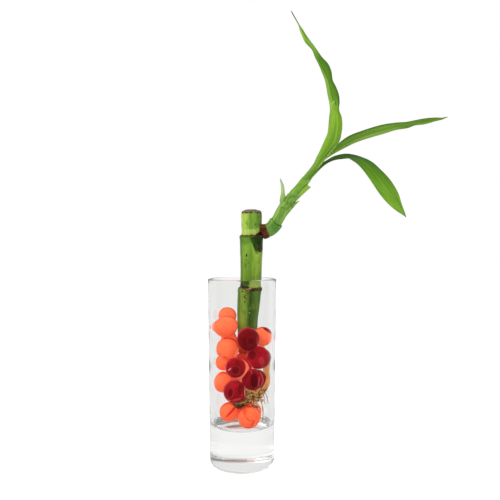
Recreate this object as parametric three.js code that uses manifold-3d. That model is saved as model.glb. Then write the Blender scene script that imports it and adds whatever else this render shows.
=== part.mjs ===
// Lucky bamboo: a cut cane with one side shoot of three leaves, standing in a tall heavy glass of gel beads.
// Millimetres, +Z up. The origin is the middle of the glass's foot, and the shoot leans towards +X.
import * as THREE from "three";
import { mergeVertices } from "three/addons/utils/BufferGeometryUtils.js";
import Module from "manifold-3d";

const wasm = await Module();
wasm.setup();

// Driving dimensions

const GAP = 0.3; // clearance between pieces that rest on each other
const FACET_ALLOWANCE = 0.1; // extra room where a flat facet faces a curve
const BLADE = 0.6; // thickness of leaves and bracts

const GLASS = {
  height: 101.5,
  rimRadius: 19,
  footRadius: 17.9,
  wall: 1.7,
  heelRound: 3.3,
  floor: 22.4, // height of the cavity's floor above the foot
  cavityRound: 4,
  sides: 48,
};

const CANE = {
  depth: 6.5, // the cane leans on the back half of the beads
  sides: 24,
  // height, sideways place of the middle, radius, and how lumpy the skin is there
  rings: [
    [60.4, 3, 4.6, 0],
    [61.2, 3, 5.5, 0],
    [65, 3, 5.8, 0.05],
    [67, 3, 6.3, 0.25],
    [68.6, 3, 5.8, 0.1],
    [78.5, 3.1, 5.95, 0],
    [84, 3.4, 6.3, 0],
    [89.8, 3.8, 6.6, 0.05],
    [94.3, 4.2, 6.8, 0.1],
    [95.7, 4.4, 7.05, 0.3],
    [96.6, 4.6, 6.9, 0.3],
    [97.3, 4.8, 6.2, 0.05],
    [104, 5, 6.05, 0],
    [111.4, 5.1, 6.15, 0],
    [118.2, 5.2, 6.45, 0],
    [124, 5.2, 6.6, 0.05],
    [125.8, 5.25, 6.85, 0.2],
    [126.6, 5.25, 6.7, 0.2],
    [127.3, 5.3, 5.9, 0.05],
    [133, 5.3, 5.8, 0],
    [138.6, 5.3, 5.8, 0],
    [139.7, 5.3, 5.4, 0],
    [140.5, 5.3, 3.9, 0],
    [140.9, 5.3, 1.4, 0],
  ],
};

// The side shoot's middle line, from the collar on the cane to its growing tip.
const SHOOT_LINE = [
  [12.6, 4.4, 128.7],
  [14.4, 4.2, 129.3],
  [16.9, 3.8, 131.1],
  [19, 3.3, 133.7],
  [21.5, 2.7, 138.4],
  [24.6, 2.2, 143.4],
  [28.5, 1.7, 148.7],
  [32.4, 1.3, 153.5],
  [35.7, 1, 157.9],
  [37.4, 1, 160.3],
];

// Sheaths that wrap the shoot one inside the next: where each ends along the shoot, and its radius at its
// foot and at its mouth.
const SHEATHS = [
  { end: 8.4, foot: 3.7, mouth: 3.95 },
  { end: 17.5, foot: 3.1, mouth: 3.35 },
  { end: 25.5, foot: 2.95, mouth: 3.1 },
  { end: 30.8, foot: 2.75, mouth: 2.8 },
];
const MOUTH = { begins: 0.96, inward: 0.25, step: 0.2 }; // a sheath's mouth turns in towards the next
const TIP = { end: 37.5, foot: 1.3, mouth: 0.7 };

const COLLAR = { inside: [8.6, 4.9, 127.4], length: 1.7, footRadius: 4.3, mouthRadius: 3.9 };

// Gel beads: colour, place before they are nudged against each other, and radius. Roots and the wall hold
// them, so the pile is looser than one of dry balls.
const BEADS = [
  ["orange", [-8.7, 6.6, 80.8], 5.4],
  ["orange", [-8.8, -4.7, 75.8], 6.2],
  ["crimson", [3.9, -10.4, 71.2], 5.95],
  ["orange", [11.6, -1.6, 70.6], 5.3],
  ["orange", [-7.4, 4.6, 67.5], 4.6],
  ["orange", [-7, -4.6, 63.8], 6.1],
  ["crimson", [9.6, -4.4, 58.8], 6.5],
  ["orange", [-9.6, 4.5, 53.4], 5.4],
  ["orange", [-0.5, 4.6, 53.6], 5.6],
  ["crimson", [-2.8, -10.2, 55.8], 5.5],
  ["crimson", [1.2, -9.4, 50.6], 5.7],
  ["crimson", [8.7, 1.6, 45.4], 5.6],
  ["orange", [-9.9, -0.4, 45.4], 5.6],
  ["crimson", [-2.2, -7.4, 44.2], 6],
  ["orange", [-3.4, 8.6, 41], 5.6],
  ["orange", [-8.2, 1, 28], 5.5],
  ["orange", [4, -9.2, 27.6], 6.1],
  ["orange", [-3, 9.3, 28.4], 5.4],
  ["orange", [6.2, 3.6, 28], 5],
  ["crimson", [-1.4, -0.6, 36], 5],
];

// Roots: where each leaves the lowest node, in degrees round the cane, its radius there, and the points that
// it is guided through on its way down to the tangle.
const CROWN = { height: 66, reach: 7.7, thickness: 0.9, endThickness: 0.36, from: -45, to: 140 };
const ROOTS = [
  {
    side: -25,
    radius: 0.75,
    guide: [[13.6, 3.4, 62], [15, 3, 54], [14.9, 1.5, 45], [12.6, -2.6, 38.6], [6, -5, 35.6], [1, -4.5, 35]],
  },
  {
    side: 5,
    radius: 0.65,
    guide: [[14.2, 6.6, 58], [14.9, 5, 49], [14, 1.5, 41], [9.6, -3.4, 36.4], [3, -4.6, 36.4], [-1, -3, 35]],
  },
  {
    side: 35,
    radius: 0.7,
    guide: [[11.6, 10.4, 57], [12.4, 9, 47], [11.6, 5, 39.6], [8, -1.5, 35.8], [3, -4.6, 36.4]],
  },
  {
    side: 80,
    radius: 0.6,
    guide: [[6, 13.4, 56], [8, 12, 46], [9.4, 6.5, 38.4], [8, -1.5, 35.8], [4, -3, 33.6]],
  },
  {
    side: 130,
    radius: 0.55,
    guide: [[2, 13.4, 54], [4.4, 12, 44], [7, 7, 37.6], [9.6, 0, 35.4], [9.6, -3.4, 36.4]],
  },
];

// Fine side roots: which root each branches off, how far along it, and its own way.
const ROOTLETS = [
  { root: 1, share: 0.72, radius: 0.45, guide: [[11.4, -4.4, 33], [11.2, -4.6, 28.4], [10.4, -4.8, 25.6]] },
  { root: 0, share: 0.66, radius: 0.4, guide: [[14, -3.2, 36], [14.2, -3.4, 33.4]] },
];

// Helpers for solids

const vec = (x, y, z) => new THREE.Vector3(x, y, z);
const curveOf = (points) => new THREE.CatmullRomCurve3(points, false, "centripetal");
const curveThrough = (places) => curveOf(places.map((place) => vec(...place)));
const { lerp, degToRad } = THREE.MathUtils;

function solidOf(geometry) {
  const bare = geometry.index ? geometry.toNonIndexed() : geometry.clone();
  bare.deleteAttribute("normal");
  bare.deleteAttribute("uv");
  const merged = mergeVertices(bare, 1e-4);
  const corners = merged.index.array;
  const triVerts = [];
  for (let i = 0; i < corners.length; i += 3) {
    const [a, b, c] = corners.slice(i, i + 3);
    if (a !== b && b !== c && c !== a) triVerts.push(a, b, c); // a lathe's poles leave slivers
  }
  const mesh = new wasm.Mesh({
    numProp: 3,
    vertProperties: merged.attributes.position.array,
    triVerts: new Uint32Array(triVerts),
  });
  return new wasm.Manifold(mesh);
}

function geometryOf(solid) {
  const mesh = solid.getMesh();
  return new THREE.BufferGeometry()
    .setAttribute("position", new THREE.BufferAttribute(new Float32Array(mesh.vertProperties), 3))
    .setIndex(new THREE.BufferAttribute(new Uint32Array(mesh.triVerts), 1));
}

const fuse = (geometries) => geometries.map(solidOf).reduce((sum, next) => sum.add(next));

// Joins rings of equally many points into one closed skin, with a fan at each end. The points of a ring run
// anticlockwise when seen from the last ring.
function skin(rings) {
  const count = rings[0].length;
  const points = rings.flat();
  const faces = [];
  for (let i = 0; i < rings.length - 1; i++) {
    for (let j = 0; j < count; j++) {
      const a = i * count + j;
      const b = i * count + ((j + 1) % count);
      faces.push(a, b, b + count, a, b + count, a + count);
    }
  }
  const middle = (ring) => ring.reduce((sum, p) => sum.add(p), vec(0, 0, 0)).divideScalar(count);
  const first = points.push(middle(rings[0])) - 1;
  const last = points.push(middle(rings[rings.length - 1])) - 1;
  const top = (rings.length - 1) * count;
  for (let j = 0; j < count; j++) {
    const next = (j + 1) % count;
    faces.push(first, next, j, last, top + j, top + next);
  }
  return new THREE.BufferGeometry().setFromPoints(points).setIndex(faces);
}

// A round rod along a curve. Each stop is a share of the way along and the radius there.
function rod(curve, stops, sides) {
  const steps = 200;
  const frames = curve.computeFrenetFrames(steps, false);
  return skin(
    stops.map(([share, radius]) => {
      const middle = curve.getPointAt(share);
      const frame = Math.round(share * steps);
      const ring = [];
      for (let j = 0; j < sides; j++) {
        const angle = (j / sides) * 2 * Math.PI;
        const out = frames.normals[frame].clone().multiplyScalar(Math.cos(angle));
        out.addScaledVector(frames.binormals[frame], Math.sin(angle));
        ring.push(middle.clone().addScaledVector(out, radius));
      }
      return ring;
    }),
  );
}

// Glass

const cavityTop = GLASS.rimRadius - GLASS.wall;
const cavityFoot = GLASS.footRadius - GLASS.wall;
const cavityRadius = (z) => lerp(cavityFoot, cavityTop, (z - GLASS.floor) / (GLASS.height - GLASS.floor));

function glass() {
  const { height, rimRadius, footRadius, wall, heelRound, floor, cavityRound, sides } = GLASS;
  const outline = new THREE.Path();
  outline.lineTo(footRadius - heelRound, 0);
  outline.absarc(footRadius - heelRound, heelRound, heelRound, -Math.PI / 2, 0, false);
  outline.absarc(rimRadius - wall / 2, height - wall / 2, wall / 2, 0, Math.PI, false);
  outline.absarc(cavityFoot - cavityRound, floor + cavityRound, cavityRound, 0, -Math.PI / 2, true);
  outline.lineTo(0, floor);
  return geometryOf(solidOf(new THREE.LatheGeometry(outline.getPoints(3), sides).rotateX(Math.PI / 2)));
}

// Cane

function caneSkin(grow) {
  return skin(
    CANE.rings.map(([z, x, radius, lump]) => {
      const ring = [];
      for (let j = 0; j < CANE.sides; j++) {
        const angle = (j / CANE.sides) * 2 * Math.PI;
        const uneven = lump * (0.6 * Math.sin(5 * angle + z) + 0.4 * Math.sin(9 * angle + 2 * z));
        const reach = radius + uneven + grow;
        ring.push(vec(x + reach * Math.cos(angle), CANE.depth + reach * Math.sin(angle), z));
      }
      return ring;
    }),
  );
}

// The eye is a dormant bud under its scale, set in the cane's skin on the front right.
const EYE = { place: [9.6, 2.8, 118.8], size: [2.3, 1.5, 2.7], turn: 50 };

function cane() {
  const eye = new THREE.SphereGeometry(1, 10, 8).scale(...EYE.size);
  eye.rotateZ(degToRad(EYE.turn)).translate(...EYE.place);
  return geometryOf(fuse([caneSkin(0), eye]));
}

// Side shoot

const shootLine = curveThrough(SHOOT_LINE);
const shootLength = shootLine.getLength();

// The swollen brown scale at the cane's upper node, out of which the shoot breaks.
function collar() {
  const end = shootLine.getPointAt(COLLAR.length / shootLength).toArray();
  const line = curveThrough([COLLAR.inside, SHOOT_LINE[0], end]);
  const radiusAt = (share) => lerp(COLLAR.footRadius, COLLAR.mouthRadius, share);
  const stops = [0, 0.2, 0.4, 0.6, 0.8, 1].map((share) => [share, radiusAt(share)]);
  return geometryOf(solidOf(rod(line, stops, 20)).subtract(solidOf(caneSkin(GAP + FACET_ALLOWANCE))));
}

// Where the midrib of a leaf or bract lies on the shoot. side is in degrees round the shoot: 0 is the front,
// 90 the lower right and 270 the upper left. wrap is how far round the shoot the leaf's foot reaches.
function clasp(along, side, radius, wrap) {
  const share = along / shootLength;
  const tangent = shootLine.getTangentAt(share);
  const front = vec(0, -1, 0).projectOnPlane(tangent).normalize();
  const right = front.clone().cross(tangent).negate();
  const out = front.multiplyScalar(Math.cos(degToRad(side))).addScaledVector(right, Math.sin(degToRad(side)));
  const at = shootLine.getPointAt(share).addScaledVector(out, radius);
  return { at: at.toArray(), face: out.negate().toArray(), half: radius * degToRad(wrap / 2), curl: wrap };
}

const free = (at, face, half, curl) => ({ at, face, half, curl });

// A thin leaf. A station gives the midrib's place, the way the upper face looks, half the width, and the
// angle through which the blade curls across its width. Both faces are split into triangles alike.
function blade({ stations, rows, columns, ripple = 0, waves = 0 }) {
  const places = curveThrough(stations.map((s) => s.at));
  const looks = curveThrough(stations.map((s) => s.face));
  const shapes = new THREE.CatmullRomCurve3(stations.map((s, i) => vec(s.half, s.curl, i)));
  const upper = [];
  const lower = [];
  for (let i = 0; i <= rows; i++) {
    const t = i / rows;
    const tangent = places.getTangent(t);
    const up = looks.getPoint(t).projectOnPlane(tangent).normalize();
    const across = up.clone().cross(tangent);
    const shape = shapes.getPoint(t);
    const curl = degToRad(Math.max(shape.y, 1));
    const bend = (2 * Math.max(shape.x, BLADE / 2)) / curl;
    for (let j = 0; j <= columns; j++) {
      const w = (2 * j) / columns - 1;
      const turn = (w * curl) / 2;
      const normal = up.clone().multiplyScalar(Math.cos(turn)).addScaledVector(across, -Math.sin(turn));
      const middle = places.getPoint(t);
      middle.addScaledVector(across, bend * Math.sin(turn)).addScaledVector(up, bend * (1 - Math.cos(turn)));
      const swell = Math.sin(Math.PI * t) * ripple * w * w * Math.sin(2 * Math.PI * waves * t + 1.3 * w);
      middle.addScaledVector(normal, swell);
      const rib = w === 0 ? BLADE / 4 : 0;
      upper.push(middle.clone().addScaledVector(normal, BLADE / 2));
      lower.push(middle.clone().addScaledVector(normal, -BLADE / 2 - rib));
    }
  }
  const width = columns + 1;
  const total = upper.length;
  const faces = [];
  const wall = (a, b) => faces.push(a, b, b + total, a, b + total, a + total);
  for (let i = 0; i < rows; i++) {
    for (let j = 0; j < columns; j++) {
      const a = i * width + j;
      const b = a + width;
      faces.push(a, b, a + 1, a + 1, b, b + 1);
      faces.push(a + total, a + 1 + total, b + total, a + 1 + total, b + 1 + total, b + total);
    }
    wall((i + 1) * width, i * width);
    wall(i * width + columns, (i + 1) * width + columns);
  }
  for (let j = 0; j < columns; j++) {
    wall(j, j + 1);
    wall(rows * width + j + 1, rows * width + j);
  }
  return new THREE.BufferGeometry().setFromPoints([...upper, ...lower]).setIndex(faces);
}

// Short sheath ends that stand free of the shoot.
const BRACTS = [
  {
    // the long pale one on the left
    stations: [
      clasp(12, 268, 2.9, 150),
      clasp(15.5, 268, 3.15, 140),
      free([21.2, 1.6, 145.6], [0.8, 0.3, -0.3], 2.2, 100),
      free([21.9, 0.9, 149.6], [0.85, 0.5, 0], 1.5, 70),
      free([21.8, 0.5, 153.8], [0.85, 0.5, 0.1], 0.95, 50),
      free([21.2, 0.2, 158.3], [0.85, 0.5, 0.2], 0.3, 30),
    ],
    rows: 12,
    columns: 6,
  },
  {
    // the short one on the right
    stations: [
      clasp(9.5, 85, 2.9, 150),
      clasp(14, 85, 3.15, 140),
      free([26.9, 0.6, 141.6], [-0.6, 0.1, 0.7], 2.6, 150),
      free([29.6, 0.2, 144.3], [-0.55, -0.2, 0.7], 1.7, 130),
      free([31.8, 0.2, 146.1], [-0.55, -0.3, 0.7], 0.4, 60),
    ],
    rows: 9,
    columns: 6,
  },
  {
    // the split one higher up
    stations: [
      clasp(21, 95, 2.7, 130),
      clasp(26, 95, 2.9, 110),
      free([35.6, -1.4, 150.4], [-0.65, -0.1, 0.7], 1.9, 140),
      free([38.2, -2.4, 153.3], [-0.6, -0.3, 0.7], 0.8, 70),
    ],
    rows: 9,
    columns: 6,
  },
];

function sideShoot() {
  const start = COLLAR.length + 4 * GAP;
  const stops = [];
  let from = start;
  for (const { end, foot, mouth } of SHEATHS) {
    for (const part of [0, 1 / 3, 2 / 3, MOUTH.begins, 1]) {
      const inward = part === 1 ? MOUTH.inward : 0;
      stops.push([lerp(from, end, part) / shootLength, lerp(foot, mouth, part) - inward]);
    }
    from = end + MOUTH.step;
  }
  stops.push([from / shootLength, TIP.foot], [TIP.end / shootLength, TIP.mouth]);
  return geometryOf(fuse([rod(shootLine, stops, 16), ...BRACTS.map(blade)]));
}

// Leaves

const LEAVES = {
  leaf_upright: {
    stations: [
      clasp(32, 320, 2.15, 100),
      clasp(36.5, 320, 2.0, 100),
      free([41.4, 0.2, 166.6], [0.3, 0.9, -0.2], 2.0, 110),
      free([46.7, -0.6, 174.6], [0.3, 0.9, -0.2], 2.9, 90),
      free([50.6, -1.4, 181.0], [0.25, 0.95, 0], 4.2, 60),
      free([51.0, -2, 188.4], [0.2, 0.95, 0], 4.2, 50),
      free([51.0, -2.4, 193.5], [0.1, 0.98, 0], 3.3, 60),
      free([51.2, -2.7, 197.0], [-0.1, 0.98, 0], 2.7, 80),
      free([51.5, -3, 200.6], [-0.25, 0.95, 0], 3.2, 90),
      free([50.4, -3.4, 205.8], [-0.3, 0.95, 0], 3.3, 90),
      free([48.7, -3.8, 210.7], [-0.3, 0.95, 0], 2.8, 90),
      free([46.0, -4.4, 217.8], [-0.2, 0.95, 0.1], 2.9, 80),
      free([43.1, -4.8, 222.5], [0, 0.95, 0.2], 2.0, 80),
      free([39.0, -5.2, 228.1], [0.2, 0.95, 0.2], 1.4, 80),
      free([35.7, -5.6, 232.6], [0.2, 0.95, 0.2], 1.4, 70),
      free([32.2, -6, 237.6], [0.2, 0.95, 0.2], 0.8, 60),
      free([26.7, -6.5, 248.7], [0.2, 0.95, 0.2], 0.3, 20),
    ],
    rows: 36,
    columns: 4,
    ripple: 0.7,
    waves: 4,
  },
  leaf_spreading: {
    stations: [
      clasp(32, 200, 2.15, 100),
      clasp(36.5, 200, 2.0, 100),
      free([44.1, 3.4, 167.4], [-0.3, -0.8, 0.4], 2.1, 110),
      free([49.7, 4.8, 172.0], [-0.35, -0.75, 0.55], 2.9, 90),
      free([55.8, 7, 176.7], [-0.3, -0.75, 0.6], 3.5, 80),
      free([64.5, 11, 181.8], [-0.25, -0.75, 0.6], 3.8, 75),
      free([73.5, 15, 185.5], [-0.2, -0.75, 0.6], 3.8, 70),
      free([82.6, 18.5, 188.8], [-0.15, -0.75, 0.6], 3.7, 65),
      free([91.8, 21.5, 191.4], [-0.1, -0.75, 0.6], 3.1, 60),
      free([100.9, 24, 192.9], [-0.05, -0.75, 0.6], 2.5, 60),
      free([110.0, 26, 195.4], [0, -0.75, 0.6], 2.2, 60),
      free([117.8, 28, 197.2], [0, -0.75, 0.6], 1.3, 50),
      free([125.5, 29.5, 200.0], [0, -0.75, 0.6], 0.4, 30),
    ],
    rows: 30,
    columns: 4,
    ripple: 0.6,
    waves: 3,
  },
  leaf_arching: {
    stations: [
      clasp(32, 80, 2.15, 100),
      clasp(36.5, 80, 2.0, 100),
      free([44.2, -2.4, 164.5], [-0.5, -0.1, 0.8], 1.7, 130),
      free([47.6, -3.6, 167.4], [-0.45, -0.1, 0.9], 2.6, 150),
      free([50.9, -4.4, 168.3], [-0.15, -0.15, 1], 3.3, 160),
      free([55.5, -6.5, 168.5], [0.05, -0.2, 1], 3.5, 150),
      free([59.5, -8.5, 167.4], [0.25, -0.45, 0.9], 3.9, 110),
      free([63.9, -10.5, 165.1], [0.4, -0.75, 0.6], 4.2, 75),
      free([68.3, -12.5, 161], [0.45, -0.85, 0.4], 5.0, 55),
      free([72.0, -14.3, 155.2], [0.45, -0.85, 0.35], 5.4, 45),
      free([76.0, -16, 148.8], [0.45, -0.85, 0.35], 5.5, 45),
      free([79.1, -17.5, 143.4], [0.45, -0.85, 0.35], 4.5, 45),
      free([81.6, -18.8, 139.0], [0.45, -0.85, 0.35], 2.5, 40),
      free([85.1, -20, 135.8], [0.45, -0.85, 0.35], 0.4, 30),
    ],
    rows: 30,
    columns: 4,
    ripple: 0.25,
    waves: 2,
  },
};

// Beads and roots are kept off the cane, the glass and each other by small pushes.

function caneAt(z) {
  const rings = CANE.rings;
  const above = rings.findIndex((ring) => ring[0] > z);
  if (above < 1) return { x: rings[0][1], radius: rings[0][2] };
  const [low, high] = [rings[above - 1], rings[above]];
  const part = (z - low[0]) / (high[0] - low[0]);
  return { x: lerp(low[1], high[1], part), radius: lerp(low[2], high[2], part) };
}

function keepOffCane(point, distance) {
  const foot = CANE.rings[0][0];
  const near = caneAt(Math.max(point.z, foot));
  const off = vec(point.x - near.x, point.y - CANE.depth, 0);
  if (point.z >= foot) {
    const short = near.radius + distance - off.length();
    if (short > 0) point.addScaledVector(off.normalize(), short);
  } else {
    const rim = off.clone().clampLength(0, near.radius);
    const from = vec(near.x + rim.x, CANE.depth + rim.y, foot);
    const away = point.clone().sub(from);
    if (away.length() < distance) point.addScaledVector(away.clone().normalize(), distance - away.length());
  }
}

function keepInGlass(point, distance) {
  const bottom = GLASS.floor + distance;
  point.z = Math.max(point.z, bottom);
  const reach = cavityRadius(point.z) - distance;
  const off = Math.hypot(point.x, point.y);
  if (off > reach) point.multiply(vec(reach / off, reach / off, 1));
  // the round corner between wall and floor
  const turn = GLASS.cavityRound;
  const inner = cavityFoot - turn;
  const over = Math.hypot(point.x, point.y) - inner;
  const under = GLASS.floor + turn - point.z;
  const room = turn - distance;
  const excess = Math.hypot(over, under) - Math.max(room, 0);
  if (over > 0 && under > 0 && excess > 0) {
    const back = inner / (inner + excess);
    point.multiply(vec(back, back, 1));
  }
}

// Beads that overlap part, and beads that almost touch close up.
function settleBeads() {
  const beads = BEADS.map(([colour, place, radius]) => {
    return { colour, radius, home: vec(...place), at: vec(...place) };
  });
  const pull = { within: 2, strength: 0.06, home: 0.04, passes: 300 };
  const passes = 500;
  for (let pass = 0; pass < passes; pass++) {
    if (pass < pull.passes) for (const bead of beads) bead.at.lerp(bead.home, pull.home);
    for (const [i, one] of beads.entries()) {
      for (const other of beads.slice(i + 1)) {
        const off = one.at.clone().sub(other.at);
        const short = one.radius + other.radius + GAP - off.length();
        const pulled = short > -pull.within && pass < pull.passes;
        if (short <= 0 && !pulled) continue;
        off.normalize().multiplyScalar(short > 0 ? short / 2 : short * pull.strength);
        one.at.add(off);
        other.at.sub(off);
      }
    }
    for (const bead of beads) {
      keepOffCane(bead.at, bead.radius + GAP);
      keepInGlass(bead.at, bead.radius + GAP);
    }
  }
  return beads;
}

const beads = settleBeads();

const ROOT_STEPS = 6; // steps between two guide points
const ROOT_EASING = { passes: 60, easedUntil: 40, share: 0.3, taper: 0.6 };

function rootLine(radius, guide) {
  const count = ROOT_STEPS * (guide.length - 1);
  const points = curveThrough(guide).getPoints(count);
  const clear = radius + GAP + FACET_ALLOWANCE;
  for (let pass = 0; pass < ROOT_EASING.passes; pass++) {
    if (pass < ROOT_EASING.easedUntil) {
      for (let i = 1; i < count; i++) {
        const ease = points[i - 1].clone().add(points[i + 1]).multiplyScalar(0.5);
        points[i].lerp(ease, ROOT_EASING.share);
      }
    }
    for (const point of points.slice(1)) {
      for (const bead of beads) {
        const off = point.clone().sub(bead.at);
        const short = bead.radius + clear - off.length();
        if (short > 0) point.addScaledVector(off.normalize(), short);
      }
      keepOffCane(point, clear + FACET_ALLOWANCE);
      keepInGlass(point, clear);
    }
  }
  return curveOf(points);
}

function roots() {
  const { height, reach, thickness, endThickness, from, to } = CROWN;
  const crownPoint = (side) => {
    const angle = degToRad(side);
    return [caneAt(height).x + reach * Math.cos(angle), CANE.depth + reach * Math.sin(angle), height];
  };
  const shares = [0, 0.05, 0.2, 0.35, 0.5, 0.65, 0.8, 0.95, 1];
  const arc = curveThrough(shares.map((share) => crownPoint(lerp(from, to, share))));
  const crownStops = shares.map((share) => [share, share % 1 === 0 ? endThickness : thickness]);
  const crown = rod(arc, crownStops, 8);
  const strand = (line, radius, count) => {
    const stops = [];
    for (let i = 0; i <= count; i++) stops.push([i / count, radius * lerp(1, ROOT_EASING.taper, i / count)]);
    return rod(line, stops, 6);
  };
  const stepsOf = (guide) => ROOT_STEPS * (guide.length - 1);
  const lines = ROOTS.map(({ side, radius, guide }) => rootLine(radius, [crownPoint(side), ...guide]));
  const grown = ROOTS.map(({ radius, guide }, i) => strand(lines[i], radius, stepsOf(guide) + ROOT_STEPS));
  const fine = ROOTLETS.map(({ root, share, radius, guide }) => {
    const whole = [lines[root].getPointAt(share).toArray(), ...guide];
    return strand(rootLine(radius, whole), radius, stepsOf(whole));
  });
  return geometryOf(fuse([crown, ...grown, ...fine]));
}

// Materials

const matte = (color, roughness) => new THREE.MeshStandardMaterial({ color, roughness, metalness: 0 });
const finish = {
  glass: new THREE.MeshStandardMaterial({ color: 0xeef1ee, roughness: 0.05, transparent: true, opacity: 0.3 }),
  cane: matte(0x6f8c35, 0.45),
  scale: matte(0x5a3419, 0.6),
  shoot: matte(0x7fa046, 0.45),
  leaf: matte(0x76a336, 0.4),
  root: matte(0xb78b50, 0.7),
  orange: matte(0xfd7650, 0.15),
  crimson: matte(0x8c1220, 0.15),
};

// Assembly

const model = new THREE.Group();

function place(name, geometry, material) {
  const mesh = new THREE.Mesh(geometry, material);
  mesh.name = name;
  model.add(mesh);
}

place("glass", glass(), finish.glass);
place("cane", cane(), finish.cane);
place("bud_collar", collar(), finish.scale);
place("side_shoot", sideShoot(), finish.shoot);
for (const [name, leaf] of Object.entries(LEAVES)) place(name, blade(leaf), finish.leaf);
for (const [i, { colour, at, radius }] of beads.entries()) {
  const ball = new THREE.SphereGeometry(radius, 14, 10).rotateX(Math.PI / 2);
  ball.translate(at.x, at.y, at.z);
  place(`bead_${String(i + 1).padStart(2, "0")}`, ball, finish[colour]);
}
place("roots", roots(), finish.root);

export default model;
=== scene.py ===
# %% [markdown]
# # Lucky bamboo in a glass of gel beads
#
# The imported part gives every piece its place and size. This lesson gives each piece the shape and finish
# that the eye expects: clear moulded glass, swollen gel beads, a woody green cane with its brown node
# rings, a side shoot in its sheaths, three long leaves and a tangle of roots. Everything is in metres in
# the part's own frame, so nothing has to be fitted.

# %% Load the part
import math
import random

import bpy
import numpy as np
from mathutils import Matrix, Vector, noise


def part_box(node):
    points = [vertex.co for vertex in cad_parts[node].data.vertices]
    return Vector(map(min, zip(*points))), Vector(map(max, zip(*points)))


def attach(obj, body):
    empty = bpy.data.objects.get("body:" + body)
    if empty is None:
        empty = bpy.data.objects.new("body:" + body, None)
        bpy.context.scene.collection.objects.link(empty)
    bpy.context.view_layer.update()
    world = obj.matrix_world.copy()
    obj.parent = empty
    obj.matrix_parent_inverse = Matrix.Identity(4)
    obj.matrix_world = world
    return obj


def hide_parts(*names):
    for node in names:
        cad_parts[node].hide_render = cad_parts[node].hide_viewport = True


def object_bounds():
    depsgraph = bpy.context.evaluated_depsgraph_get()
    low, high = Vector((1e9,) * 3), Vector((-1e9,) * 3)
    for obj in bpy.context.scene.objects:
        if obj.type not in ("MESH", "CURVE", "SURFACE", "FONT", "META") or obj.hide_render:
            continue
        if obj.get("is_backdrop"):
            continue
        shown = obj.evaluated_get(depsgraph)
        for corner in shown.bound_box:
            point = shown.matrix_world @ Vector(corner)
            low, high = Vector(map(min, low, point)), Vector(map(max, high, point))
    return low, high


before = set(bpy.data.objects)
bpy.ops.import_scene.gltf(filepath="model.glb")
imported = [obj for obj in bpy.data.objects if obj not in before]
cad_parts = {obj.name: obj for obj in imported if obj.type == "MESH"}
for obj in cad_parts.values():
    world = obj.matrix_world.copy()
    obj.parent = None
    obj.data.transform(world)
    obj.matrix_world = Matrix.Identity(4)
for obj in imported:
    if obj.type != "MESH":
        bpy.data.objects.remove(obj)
cad_low, cad_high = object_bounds()
bpy.ops.object.select_all(action="DESELECT")
MM = 0.001
print("part box in mm:", [round(v / MM, 1) for v in (*cad_low, *cad_high)])

# %% [markdown]
# ## Camera
#
# The photograph looks straight ahead at the upper part of the glass, from about 29 cm away. The picture
# is square, so the lens follows from its width of 500 pixels and a focal length of 520 pixels.

# %% Camera
FOCAL_PIXELS = 520
PHOTO_PIXELS = 500
SENSOR_WIDTH = 36
CAMERA_PLACE = (0.0044, -0.2897, 0.1184)
bpy.ops.object.camera_add(location=CAMERA_PLACE, rotation=(math.radians(90), 0, 0))
camera = bpy.context.object
camera.data.sensor_width = SENSOR_WIDTH
camera.data.lens = SENSOR_WIDTH * FOCAL_PIXELS / PHOTO_PIXELS
camera.data.clip_start = 0.01
bpy.context.scene.camera = camera
print("lens in mm:", round(camera.data.lens, 2))

# %% [markdown]
# ## How a finish is built
#
# No surface of a plant is one flat colour: bark has streaks, gel is cloudy and a leaf has veins. A finish
# could be painted as an image. Here it is built from nodes, because a pattern that is worked out in
# millimetres stays sharp at any size. One function adds a node. What it gives back is a wire, one output
# of the node, and wires can be added and multiplied like numbers, so that a pattern reads as a sum.

# %% Colours, wires and nodes
def linear(code):
    """The linear colour of an sRGB code such as #76a336."""
    values = [int(code[i : i + 2], 16) / 255 for i in (1, 3, 5)]
    return tuple(v / 12.92 if v <= 0.04045 else ((v + 0.055) / 1.055) ** 2.4 for v in values) + (1,)


class Wire:
    """One output of a node. A sign between a wire and a wire or a number adds a Math node."""

    def __init__(self, socket):
        self.socket = socket
        self.tree = socket.id_data

    def step(self, operation, *others):
        return add_node(self.tree, "Math", self, *others, operation=operation)

    def __add__(self, other):
        return self.step("ADD", other)

    def __sub__(self, other):
        return self.step("SUBTRACT", other)

    def __mul__(self, other):
        return self.step("MULTIPLY", other)

    def __truediv__(self, other):
        return self.step("DIVIDE", other)


def fill(socket, value):
    """Fills an input with a wire, an sRGB code, a number or a list of numbers. None leaves it as it is."""
    if isinstance(value, Wire):
        value.tree.links.new(value.socket, socket)
    elif value is not None:
        socket.default_value = linear(value) if isinstance(value, str) else value


def add_node(tree, kind, *values, stops=(), out=None, **settings):
    """Adds a node and gives back a wire from it. values fill its inputs in order. A setting with a capital
    is an input's name, and any other a property of the node. stops are a ramp's places and colours."""
    node = tree.nodes.new("ShaderNode" + kind)
    for name, value in settings.items():
        if name[0].isupper():
            fill(node.inputs[name], value)
        else:
            setattr(node, name, value)
    live_inputs = [socket for socket in node.inputs if socket.enabled]
    for socket, value in zip(live_inputs, values):
        fill(socket, value)
    for _ in stops[2:]:
        node.color_ramp.elements.new(0.5)
    for number, (place, code) in enumerate(stops):
        node.color_ramp.elements[number].position = place
        node.color_ramp.elements[number].color = linear(code)
    live_outputs = [socket for socket in node.outputs if socket.enabled]
    return Wire(node.outputs[out] if out else live_outputs[0])


def finish(material, **inputs):
    """Fills the shader's own sockets."""
    shader = material.node_tree.nodes["Principled BSDF"]
    for name, value in inputs.items():
        fill(shader.inputs[name.replace("_", " ")], value)


def new_material(name, **inputs):
    """A Principled material with constants on its shader's own sockets."""
    material = bpy.data.materials.new(name)
    material.use_nodes = True
    finish(material, **inputs)
    return material


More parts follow.
